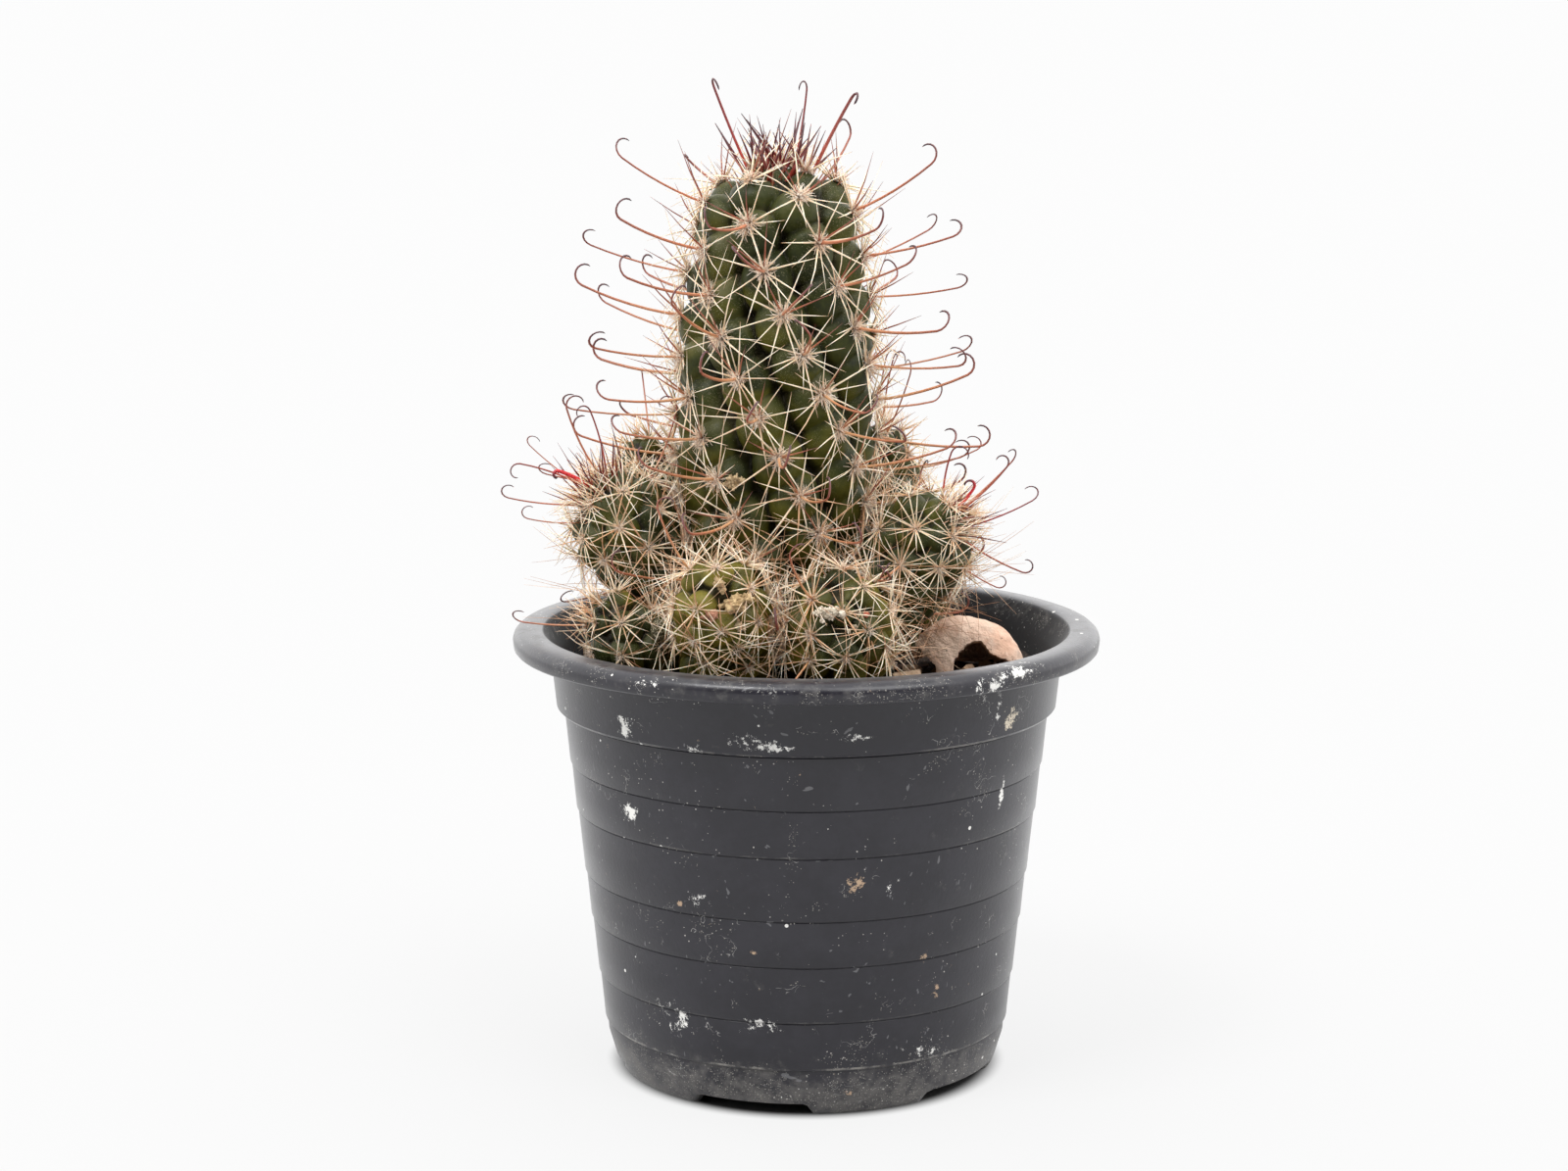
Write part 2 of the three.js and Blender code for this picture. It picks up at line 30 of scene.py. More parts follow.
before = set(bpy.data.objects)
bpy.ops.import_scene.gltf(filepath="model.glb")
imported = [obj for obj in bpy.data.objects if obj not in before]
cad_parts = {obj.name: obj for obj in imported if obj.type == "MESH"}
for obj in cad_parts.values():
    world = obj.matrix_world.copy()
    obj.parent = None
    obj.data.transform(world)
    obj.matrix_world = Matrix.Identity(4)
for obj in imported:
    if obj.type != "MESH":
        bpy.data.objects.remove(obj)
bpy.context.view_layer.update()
print("frame loaded:", len(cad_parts), "nodes")

mm = 0.001
up = np.array((0.0, 0.0, 1.0))
noise.seed_set(1)  # gives noise_vector the same values in each run
black = (0, 0, 0, 1)
white = (1, 1, 1, 1)


# Small helpers

def draw(index, channel):  # a fixed number from 0 to 1 for this index; each use has a channel of its own
    wave = math.sin(index * 12.9898 + channel * 78.233) * 43758.5453
    return wave - math.floor(wave)


def smooth(x):
    x = np.clip(x, 0, 1)
    return x * x * (3 - 2 * x)


def unit(v):
    return v / np.linalg.norm(v)


def addObject(name, data):
    made = bpy.data.objects.new(name, data)
    bpy.context.scene.collection.objects.link(made)
    return made


def addMesh(name, mesh, material=None):  # turned from millimetres into metres
    mesh.transform(Matrix.Scale(mm, 4))
    if material:
        mesh.materials.append(material)
    return addObject(name, mesh)


def addPiece(name, mesh, material, stands=()):  # stands lists the CAD nodes that it replaces
    piece = addMesh(name, mesh, material)
    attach(piece, "root")
    if stands:
        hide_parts(*stands)
    print("made", name, "with", len(mesh.polygons), "faces")
    return piece


def meshFrom(bm, name, sharpAngle=None):  # smooth, but for edges sharper than sharpAngle in degrees
    mesh = bpy.data.meshes.new(name)
    bm.to_mesh(mesh)
    bm.free()
    mesh.polygons.foreach_set("use_smooth", [True] * len(mesh.polygons))
    if sharpAngle:
        mesh.set_sharp_from_angle(angle=math.radians(sharpAngle))
    return mesh


def spunProfile(profile, steps):  # (radius, height) pairs turned once round Z
    bm = bmesh.new()
    verts = [bm.verts.new((radius, 0, height)) for radius, height in profile]
    edges = [bm.edges.new(pair) for pair in zip(verts, verts[1:])]
    bmesh.ops.spin(bm, geom=verts + edges, cent=(0, 0, 0), axis=(0, 0, 1), dvec=(0, 0, 0),
                   angle=2 * math.pi, steps=steps, use_merge=True)
    bmesh.ops.remove_doubles(bm, verts=bm.verts, dist=1e-4)  # closes the seam and both ends
    bmesh.ops.recalc_face_normals(bm, faces=bm.faces)
    return bm


# Material building blocks

def addNode(tree, kind, inputs=None, **settings):
    node = tree.nodes.new(kind)
    for key, value in settings.items():
        setattr(node, key, value)
    for key, value in (inputs or {}).items():
        if isinstance(value, bpy.types.NodeSocket):
            tree.links.new(value, node.inputs[key])
        else:
            node.inputs[key].default_value = value
    return node


def mathNode(tree, operation, a, b=0.0, c=0.0):
    return addNode(tree, "ShaderNodeMath", {0: a, 1: b, 2: c}, operation=operation).outputs[0]


def times(tree, a, b):
    return mathNode(tree, "MULTIPLY", a, b)


def vectorNode(tree, operation, a, b=(0.0, 0.0, 0.0), output=0):
    return addNode(tree, "ShaderNodeVectorMath", {0: a, 1: b}, operation=operation).outputs[output]


def mixColour(tree, share, a, b, how="MIX"):
    node = addNode(tree, "ShaderNodeMix", {0: share, 6: a, 7: b}, data_type="RGBA", blend_type=how)
    return node.outputs[2]


def layer(tree, below, tone, mask, share=None):  # lays one tone over a colour where the mask is
    if share is not None:
        mask = times(tree, mask, share)
    return mixColour(tree, mask, below, (*tone, 1))


def rampNode(tree, share, stops):
    node = addNode(tree, "ShaderNodeValToRGB", {0: share})
    elements = node.color_ramp.elements
    while len(elements) < len(stops):
        elements.new(0.5)
    for element, (place, colour) in zip(elements, stops):
        element.position = place
        element.color = (*colour, 1)
    return node.outputs[0]


def shadeBy(tree, colour, grain, low, dark, high):  # multiplied by dark where the grain is low
    shade = rampNode(tree, grain, ((low, dark), (high, white[:3])))
    return mixColour(tree, 1.0, colour, shade, "MULTIPLY")


def rangeNode(tree, value, low, high, to=(0.0, 1.0)):
    node = addNode(tree, "ShaderNodeMapRange", {0: value, 1: low, 2: high, 3: to[0], 4: to[1]},
                   interpolation_type="SMOOTHSTEP")
    return node.outputs[0]


def noiseNode(tree, place, scale, detail=3.0, roughness=0.55):
    return addNode(tree, "ShaderNodeTexNoise",
                   {"Vector": place, "Scale": scale, "Detail": detail, "Roughness": roughness}).outputs[0]


def newGroup(name, inputs, outputs):
    group = bpy.data.node_groups.new(name, "ShaderNodeTree")
    for label, kind in inputs:
        group.interface.new_socket(label, in_out="INPUT", socket_type=kind)
    for label, kind in outputs:
        group.interface.new_socket(label, in_out="OUTPUT", socket_type=kind)
    return group, group.nodes.new("NodeGroupInput").outputs, group.nodes.new("NodeGroupOutput").inputs


def makeSpecksGroup():  # small round specks, gathered in patches
    group, given, result = newGroup(
        "specks",
        [("Place", "NodeSocketVector"), ("Per mm", "NodeSocketFloat"), ("Size", "NodeSocketFloat"),
         ("Patches per mm", "NodeSocketFloat"), ("Patch", "NodeSocketFloat")],
        [("Mask", "NodeSocketFloat")])
    cells = addNode(group, "ShaderNodeTexVoronoi", {"Vector": given[0], "Scale": given[1]}, feature="F1")
    chance = addNode(group, "ShaderNodeSeparateColor", {0: cells.outputs["Color"]})
    size = mathNode(group, "MULTIPLY", chance.outputs[0], given[2])
    speck = mathNode(group, "LESS_THAN", cells.outputs["Distance"], size)
    patches = noiseNode(group, given[0], given[3], 4.0, 0.6)
    patch = rangeNode(group, mathNode(group, "SUBTRACT", patches, given[4]), -0.06, 0.08)  # its soft edge
    kept = mathNode(group, "GREATER_THAN", patch, chance.outputs[1])
    group.links.new(times(group, speck, kept), result[0])
    return group


def makeMottleGroup():  # soft colour change between two tones, with a finer grain in it
    group, given, result = newGroup(
        "mottle",
        [("Place", "NodeSocketVector"), ("Per mm", "NodeSocketFloat"), ("Dark", "NodeSocketColor"),
         ("Light", "NodeSocketColor")],
        [("Color", "NodeSocketColor")])
    broad = noiseNode(group, given[0], given[1], 2.0, 0.5)
    fine = noiseNode(group, given[0], times(group, given[1], 6.0), 3.0, 0.6)
    both = mathNode(group, "MULTIPLY_ADD", fine, 0.35, times(group, broad, 0.65))
    share = rangeNode(group, both, 0.35, 0.65)
    group.links.new(mixColour(group, share, given[2], given[3]), result[0])
    return group


specksGroup = makeSpecksGroup()
mottleGroup = makeMottleGroup()


def specks(tree, place, perMm, size, patchesPerMm, patch):
    given = dict(enumerate((place, perMm, size, patchesPerMm, patch)))
    return addNode(tree, "ShaderNodeGroup", given, node_tree=specksGroup).outputs[0]


def mottle(tree, place, perMm, dark, bright):
    given = dict(enumerate((place, perMm, (*dark, 1), (*bright, 1))))
    return addNode(tree, "ShaderNodeGroup", given, node_tree=mottleGroup).outputs[0]


def toneOf(tree, output):  # what the mesh stores for each point under the name tone
    return addNode(tree, "ShaderNodeAttribute", attribute_name="tone").outputs[output]


def splitColour(tree, colour):
    return addNode(tree, "ShaderNodeSeparateColor", {0: colour}).outputs


def newMaterial(name, constants):  # gives the node tree, the surface shader and the place in millimetres
    material = bpy.data.materials.new(name)
    material.use_nodes = True
    tree = material.node_tree
    tree.nodes.clear()
    shader = addNode(tree, "ShaderNodeBsdfPrincipled", constants)
    addNode(tree, "ShaderNodeOutputMaterial", {0: shader.outputs[0]})
    coordinates = addNode(tree, "ShaderNodeTexCoord")
    scaled = addNode(tree, "ShaderNodeVectorMath", {0: coordinates.outputs["Object"], "Scale": 1 / mm},
                     operation="SCALE")
    return material, tree, shader, scaled.outputs[0]


def setColour(tree, shader, colour):
    tree.links.new(colour, shader.inputs["Base Color"])


def setBump(tree, shader, height, strength, distance):
    given = {"Height": height, "Strength": strength, "Distance": distance * mm}
    bump = addNode(tree, "ShaderNodeBump", given)
    tree.links.new(bump.outputs[0], shader.inputs["Normal"])


# Camera, floor and light

view = {
    "place": (-3.8, -560, 183.8),
    "pitch": 10.17,  # degrees below level
    "lens": 76.6,
    "sensor": 36,
}

light = {
    "backdrop": 0.975,  # what shows above the floor
    "before": 0.05,  # the room's brightness in front of the plant
    "behind": 1.9,
    "turning": (-0.88, -0.22),  # where it brightens, from -1 in front to 1 behind
    "floor": 0.48,
    "floorSize": 60000,  # wide enough to fill the picture up to its upper edge
    "floorSeen": 0.08,  # what the camera sees of the floor is this much shading over the glow
    "floorGlow": 0.79,
    "paintedShadowRing": (30.5, 35),  # distance from the pot's axis over which the glow begins; nearer the axis the floor is left dark as a painted contact shadow
    "suns": (  # degrees from the front to the right, degrees above level, softness, strength
        (-42, 56, 22, 1.7),
        (36, 50, 34, 1.3),
    ),
}


def makeCamera():
    data = bpy.data.cameras.new("camera")
    data.lens = view["lens"]
    data.sensor_width = view["sensor"]
    data.clip_start = 0.01
    camera = addObject("camera", data)
    camera.location = Vector(view["place"]) * mm
    camera.rotation_euler = (math.radians(90 - view["pitch"]), 0, 0)
    bpy.context.scene.camera = camera


def makeFloor():
    bm = bmesh.new()
    bmesh.ops.create_grid(bm, x_segments=4, y_segments=4, size=light["floorSize"])
    constants = {"Emission Strength": 1, "Roughness": 0.9, "Specular IOR Level": 0}
    material, tree, shader, place = newMaterial("paleFloor", constants)
    seen = addNode(tree, "ShaderNodeLightPath").outputs["Is Camera Ray"]
    greys = ([light[key]] * 3 + [1] for key in ("floor", "floorSeen"))
    setColour(tree, shader, mixColour(tree, seen, *greys))
    # the glow is left out under the pot and fades in round its foot: a painted contact shadow
    fromAxis = vectorNode(tree, "LENGTH", place, output="Value")
    around = rangeNode(tree, fromAxis, *light["paintedShadowRing"], (0.0, light["floorGlow"]))
    glow = mixColour(tree, times(tree, around, seen), black, white)
    tree.links.new(glow, shader.inputs["Emission Color"])
    addMesh("floor", meshFrom(bm, "floor"), material)


def makeRoom():  # a bright room, darker in front of the plant, with a plain pale backdrop
    world = bpy.data.worlds.new("studio")
    world.use_nodes = True
    tree = world.node_tree
    tree.nodes.clear()
    direction = addNode(tree, "ShaderNodeTexCoord").outputs["Generated"]
    depth = addNode(tree, "ShaderNodeSeparateXYZ", {0: direction}).outputs[1]
    strength = rangeNode(tree, depth, *light["turning"], (light["before"], light["behind"]))
    room = addNode(tree, "ShaderNodeBackground", {0: white, 1: strength})
    backdrop = addNode(tree, "ShaderNodeBackground", {0: white, 1: light["backdrop"]})
    seen = addNode(tree, "ShaderNodeLightPath").outputs["Is Camera Ray"]
    mixed = addNode(tree, "ShaderNodeMixShader", {0: seen, 1: room.outputs[0], 2: backdrop.outputs[0]})
    addNode(tree, "ShaderNodeOutputWorld", {0: mixed.outputs[0]})
    bpy.context.scene.world = world


def makeLights():
    for i, (turn, lift, softness, strength) in enumerate(light["suns"]):
        name = "softLight" + str(i)
        lamp = bpy.data.lights.new(name, "SUN")
        lamp.angle = math.radians(softness)
        lamp.energy = strength
        addObject(name, lamp).rotation_euler = (math.radians(90 - lift), 0, math.radians(turn))
    bpy.context.scene.view_settings.view_transform = "Standard"
    bpy.context.scene.view_settings.look = "None"


makeCamera()
makeFloor()
makeRoom()
makeLights()
print("camera, floor and light set")


# Pot

pot = {
    "steps": 200,
    "height": 76.6,
    "rimRadius": 50,
    "rimInside": 44.3,
    "rimUnderside": 73,
    "bandTop": 43.7,
    "bandFoot": 42.7,
    "ledge": 63,
    "wallTop": 41.5,
    "wallFoot": 34.75,
    "footRing": 8.6,
    "footRadius": 31.4,
    "thickness": 1.3,
    "floorUnderside": 2.6,
    "floorTop": 4.1,
    "laps": (8.6, 17, 26.8, 34.8, 45.7, 53.85, 63),
    "lapStep": 0.3,
    "lapGroove": 0.13,
    "feet": 5,
    "firstFoot": -71,  # degrees from +X
    "footWidth": 41,  # degrees, at the top of the notches
    "footDraft": 4,  # degrees over which a foot's end slopes
    "notchHeight": 2.3,
    "drainHoles": 5,
    "drainRadius": 3.5,
    "drainCircle": 19,
    "drainTurn": 10,  # degrees from +X to the first hole
    "drillDepth": 8,
    "floorRadius": 30.5,
    "sharpAngle": 38,
    # points of the profile, as distances out and up from a corner
    "footShape": ((-1.9, 2.2), (-1.6, 0.3), (-1.3, 0), (0, 0), (0.7, 0.35), (1.35, 1.2), (1.75, 2.3),
                  (2.3, 4.2)),
    "coveShape": ((-0.45, 6.2), (-0.35, 8.3)),
    "rimUnder": ((-1.1, 0), (-0.45, 0.15), (-0.15, 0.5)),
    "rimOver": ((0, -1.7), (-0.25, -0.9), (-0.9, -0.3), (-1.8, 0)),
    "rimInner": ((1.3, 0), (0.5, -0.3), (0, -1)),
}

# Lime splashes on the pot, one row each: angle from the front in degrees, height, size across, size up, and
# how solid it is. The tan patch and the crumbs of mud are given in the same way.
limeMarks = (
    (-43.5, 65.8, 3.0, 2.6, 0.60),
    (-13.5, 65.6, 4.2, 1.7, 0.58),
    (-8.5, 64.6, 5.6, 1.8, 0.60),
    (-46.5, 50.4, 3.2, 2.5, 0.62),
    (37, 74.6, 7.4, 2.0, 0.54),
    (44, 75.8, 6.4, 1.8, 0.56),
    (41, 72.0, 1.3, 2.6, 0.54),
    (46, 69.0, 1.2, 5.4, 0.54),
    (-25, 63.3, 2.4, 1.6, 0.52),
    (53, 53.0, 1.0, 5.2, 0.56),
    (-12, 16.4, 5.6, 2.4, 0.44),
    (-37, 15.5, 6.0, 5.6, 0.38),
    (10, 66.2, 4.6, 1.2, 0.46),
    (21, 40.5, 2.4, 2.4, 0.44),
    (-28, 37.5, 3.6, 2.8, 0.40),
    (33, 10.6, 6.4, 3.4, 0.36),
    (-30, 75.4, 6.4, 1.2, 0.38),
    (-6, 75.0, 9.0, 1.0, 0.34),
)
tanPatch = (50.5, 66.0, 3.2, 3.4, 0.62)
mudCrumbs = (
    (11.5, 41.2, 2.6, 2.5, 0.58),
    (-33, 36.2, 0.8, 0.8, 0.68),
    (-13.5, 29.2, 0.9, 0.7, 0.66),
    (31, 27.5, 2.0, 1.6, 0.52),
    (36, 20.5, 1.6, 2.4, 0.50),
    (12, 4.0, 1.8, 1.0, 0.52),
)
rings = ((3.5, 47.5, 2.4), (11.5, 31.0, 2.2))  # faint round marks of the mould: angle, height, radius
paleLapLines = ((8.7, 0.8), (17.0, 0.15), (45.7, 0.22), (63.2, 0.45))  # height and how strong each pale line is
soilTop = 66.5  # the inner wall above this is darkened as painted shade, and dull

potTones = {
    "plastic": ((0.0080, 0.0072, 0.0118), (0.0135, 0.0125, 0.0185)),
    # painted shade on the inner wall above the mix
    "inside": (0.003, 0.003, 0.004),
    "film": (0.19, 0.180, 0.166),
    "tinySpecks": (0.40, 0.38, 0.34),
    "fineSpecks": (0.50, 0.48, 0.45),
    "coarseSpecks": (0.70, 0.69, 0.66),
    "ledges": (0.42, 0.40, 0.36),
    "hairLines": (0.38, 0.37, 0.36),
    "scratches": (0.26, 0.26, 0.27),
    "lime": (0.78, 0.77, 0.74),
    "tan": (0.62, 0.54, 0.42),
    "mud": (0.42, 0.29, 0.19),
}


def wallRadius(z):
    share = (z - pot["footRing"]) / (pot["ledge"] - pot["footRing"])
    return pot["wallFoot"] + share * (pot["wallTop"] - pot["wallFoot"])


def outsideRadius(z):  # of the pot, at any height
    if z > pot["rimUnderside"]:
        return pot["rimRadius"] - 0.2
    if z > pot["ledge"]:
        band = (z - pot["ledge"]) / (pot["rimUnderside"] - pot["ledge"])
        return pot["bandFoot"] + (pot["bandTop"] - pot["bandFoot"]) * band
    return wallRadius(z)


def onOutside(angle, height):  # a point on the pot's outside, degrees from the front
    turn = math.radians(angle - 90)
    radius = outsideRadius(height)
    return math.cos(turn) * radius, math.sin(turn) * radius, height


def stepsFrom(radius, height, shape):
    return [(radius + out, height + rise) for out, rise in shape]


def potProfile():  # from the middle of the underside, round the wall, to the middle of the floor
    wall, step, groove = pot["thickness"], pot["lapStep"] / 2, pot["lapGroove"]
    ledge, underside, top = pot["ledge"], pot["rimUnderside"], pot["height"]
    rows = [(0, pot["floorUnderside"]), (pot["footRadius"] - 2.6, pot["floorUnderside"])]
    rows += stepsFrom(pot["footRadius"], 0, pot["footShape"])
    rows += stepsFrom(pot["wallFoot"], 0, pot["coveShape"])
    for low, high in zip(pot["laps"], pot["laps"][1:]):
        rows += stepsFrom(wallRadius(low) + step, low, ((-0.1, 0), (0, 0.15)))
        rows.append((wallRadius((low + high) / 2), (low + high) / 2))
        rows += stepsFrom(wallRadius(high) - step, high, ((0, -0.4), (-groove, -0.25), (-groove, -0.08)))
    rows += stepsFrom(pot["bandFoot"], ledge, ((-0.5, 0), (0, 0.5)))
    rows += stepsFrom(pot["bandTop"], underside, ((-0.1, -1), (0.3, 0.1)))
    rows += stepsFrom(pot["rimRadius"], underside, pot["rimUnder"])
    rows += stepsFrom(pot["rimRadius"], top, pot["rimOver"])
    rows += stepsFrom(pot["rimInside"], top, pot["rimInner"])
    rows += [(pot["bandTop"] - wall, underside - 1), (pot["bandFoot"] - wall, ledge + 1)]
    rows.append((wallRadius(ledge) - wall, ledge - 1))
    rows.append((wallRadius(pot["footRing"]) - wall - 0.1, pot["floorTop"] + 1))
    return rows + [(pot["floorRadius"], pot["floorTop"]), (0, pot["floorTop"])]


def cutFeet(bm):  # lifts the foot ring between the feet
    spacing = 360 / pot["feet"]
    for vert in bm.verts:
        if vert.co.z < pot["notchHeight"] and Vector(vert.co.xy).length > pot["footRadius"] - 2.3:
            angle = math.degrees(math.atan2(vert.co.y, vert.co.x))
            away = abs((angle - pot["firstFoot"] + spacing / 2) % spacing - spacing / 2)
            share = smooth((away - pot["footWidth"] / 2 + pot["footDraft"]) / pot["footDraft"])
            vert.co.z += (pot["notchHeight"] - vert.co.z) * float(share)


def markMask(tree, place, ragged, mark):  # one ragged spot on the pot's outside
    angle, height, across, tall, solid = mark
    away = vectorNode(tree, "SUBTRACT", place, onOutside(angle, height))
    sized = vectorNode(tree, "MULTIPLY", away, (1 / across, 1 / across, 1 / tall))
    fade = rangeNode(tree, vectorNode(tree, "LENGTH", sized, output="Value"), 1.3, 0.0, (0.0, solid))
    return rangeNode(tree, mathNode(tree, "ADD", fade, ragged), 0.96, 1.02)


def innerWallShadeMask(tree, place, height):  # 1 on the inner wall above the mix, where painted shade darkens it
    outward = vectorNode(tree, "NORMALIZE", vectorNode(tree, "MULTIPLY", place, (1, 1, 0)))
    normal = addNode(tree, "ShaderNodeTexCoord").outputs["Normal"]
    facing = vectorNode(tree, "DOT_PRODUCT", normal, outward, "Value")
    inner = rangeNode(tree, facing, -0.3, -0.8)
    return times(tree, inner, mathNode(tree, "GREATER_THAN", height, soilTop))


def potDustAndLapLines(tree, place, height, colour):  # gives the colour, the film of dust and the tiny specks
    # the rim and the foot have more of all dust
    low = rangeNode(tree, height, 14.0, 2.5)
    high = rangeNode(tree, height, pot["rimUnderside"] - 0.6, pot["rimUnderside"] + 1.2)
    ends = mathNode(tree, "MAXIMUM", low, times(tree, high, 0.42))
    # a worn grey film
    dusty = mathNode(tree, "MULTIPLY_ADD", ends, 0.30, noiseNode(tree, place, 0.3, 7.0, 0.72))
    film = rangeNode(tree, dusty, 0.60, 0.92, (0.0, 0.46))
    colour = layer(tree, colour, potTones["film"], film)
    # specks of three sizes
    tiny = specks(tree, place, 3.2, 0.36, 0.16, mathNode(tree, "MULTIPLY_ADD", ends, -0.25, 0.61))
    colour = layer(tree, colour, potTones["tinySpecks"], tiny, 0.55)
    fine = specks(tree, place, 1.5, 0.20, 0.10, mathNode(tree, "MULTIPLY_ADD", ends, -0.08, 0.60))
    colour = layer(tree, colour, potTones["fineSpecks"], fine, 0.8)
    colour = layer(tree, colour, potTones["coarseSpecks"], specks(tree, place, 0.30, 0.10, 0.05, 0.53))
    # broken lines on the ledges
    broken = rangeNode(tree, noiseNode(tree, place, 0.16, 8.0, 0.7), 0.46, 0.60, (0.0, 0.6))
    for ledge, share in paleLapLines:
        onLedge = mathNode(tree, "COMPARE", height, ledge, 0.22)
        colour = layer(tree, colour, potTones["ledges"], times(tree, onLedge, broken), share)
    return colour, film, tiny


def potWear(tree, place, colour):
    # thin crooked hair lines where a noise crosses one value, in a few patches
    crossing = mathNode(tree, "COMPARE", noiseNode(tree, place, 0.19, 2.5, 0.5), 0.5, 0.0021)
    patch = rangeNode(tree, noiseNode(tree, place, 0.16, 3.0, 0.6), 0.565, 0.62)
    colour = layer(tree, colour, potTones["hairLines"], times(tree, crossing, patch), 0.7)
    # scratches: thin streaks in a stretched noise
    turned = addNode(tree, "ShaderNodeMapping", {0: place, 2: (0.5, 0.7, 0.3), 3: (0.16, 2.4, 0.5)})
    scratch = rangeNode(tree, noiseNode(tree, turned.outputs[0], 1.0, 2.0, 0.5), 0.715, 0.735)
    return layer(tree, colour, potTones["scratches"], scratch, 0.35)


def potMarks(tree, place, colour):  # gives the colour and the mask of the lime
    fine, broad = noiseNode(tree, place, 2.0, 6.0, 0.82), noiseNode(tree, place, 0.6, 4.0, 0.6)
    splash = mathNode(tree, "ADD", fine, broad)
    ragged = mathNode(tree, "MULTIPLY_ADD", splash, 1.5, -1.02)
    masks = [markMask(tree, place, ragged, mark) for mark in limeMarks]
    lime = masks[0]
    for mask in masks[1:]:
        lime = mathNode(tree, "MAXIMUM", lime, mask)
    colour = layer(tree, colour, potTones["lime"], lime, 0.94)
    colour = layer(tree, colour, potTones["tan"], markMask(tree, place, ragged, tanPatch))
    for crumb in mudCrumbs:
        colour = layer(tree, colour, potTones["mud"], markMask(tree, place, ragged, crumb))
    return colour, lime


def potRelief(tree, place, lime):
    relief = mathNode(tree, "MULTIPLY_ADD", lime, 0.8, noiseNode(tree, place, 1.6, 4.0, 0.6))
    for angle, level, radius in rings:
        away = vectorNode(tree, "DISTANCE", place, onOutside(angle, level), "Value")
        fromRing = mathNode(tree, "ABSOLUTE", mathNode(tree, "SUBTRACT", away, radius))
        relief = mathNode(tree, "MULTIPLY_ADD", rangeNode(tree, fromRing, 0.45, 0.0), 1.2, relief)
    return relief


def makePotMaterial():
    constants = {"Specular IOR Level": 0.5, "Sheen Weight": 0.18, "Sheen Roughness": 0.35}
    material, tree, shader, place = newMaterial("potPlastic", constants)
    height = addNode(tree, "ShaderNodeSeparateXYZ", {0: place}).outputs[2]
    inside = innerWallShadeMask(tree, place, height)
    colour = mottle(tree, place, 0.11, *potTones["plastic"])
    # painted shade: the inner wall above the mix is made nearly black
    colour = layer(tree, colour, potTones["inside"], inside, 0.9)
    colour, film, tiny = potDustAndLapLines(tree, place, height, colour)
    colour = potWear(tree, place, colour)
    colour, lime = potMarks(tree, place, colour)
    setColour(tree, shader, colour)
    rough = mathNode(tree, "MULTIPLY_ADD", film, 0.5, 0.30)
    for mask in (times(tree, tiny, 0.7), times(tree, inside, 0.95), lime):
        rough = mathNode(tree, "MAXIMUM", rough, mask)
    tree.links.new(rough, shader.inputs["Roughness"])
    setBump(tree, shader, potRelief(tree, place, lime), 0.25, 0.12)
    return material


def drainDrill():
    bm = bmesh.new()
    for i in range(pot["drainHoles"]):
        angle = math.radians(360 / pot["drainHoles"] * i + pot["drainTurn"])
        at = Vector((math.cos(angle), math.sin(angle), 0)) * pot["drainCircle"]
        made = bmesh.ops.create_cone(bm, cap_ends=True, segments=32, radius1=pot["drainRadius"],
                                     radius2=pot["drainRadius"], depth=pot["drillDepth"])
        bmesh.ops.translate(bm, verts=made["verts"], vec=at + Vector((0, 0, pot["floorUnderside"])))
    return addMesh("drill", meshFrom(bm, "drill"))


def makePot():
    bm = spunProfile(potProfile(), pot["steps"])
    cutFeet(bm)
    mesh = meshFrom(bm, "pot", pot["sharpAngle"])
    piece = addPiece("nurseryPot", mesh, makePotMaterial(), ["pot"])
    tool = drainDrill()
    cut = piece.modifiers.new("holes", "BOOLEAN")
    cut.object = tool
    cut.solver = "EXACT"
    bpy.context.view_layer.objects.active = piece
    with bpy.context.temp_override(object=piece, active_object=piece):
        bpy.ops.object.modifier_apply(modifier="holes")
    bpy.data.objects.remove(tool)


makePot()


# Stems: where their surface, areoles and spines are

divergence = 223.5  # degrees from each areole to the next one up the stem
reach = 52.3  # no spine ends further than this from the pot's axis
soilLevel = 68.5

hookColumns = ("tip", "rise", "curl", "hook", "bow", "bend", "fresh", "stout")
tuftColumns = ("at", "rise", "radius", "spread", "cross", "count", "length", "thick", "kind", "fresh")


def rowsOf(columns, *rows):
    return tuple(dict(zip(columns, row)) for row in rows)


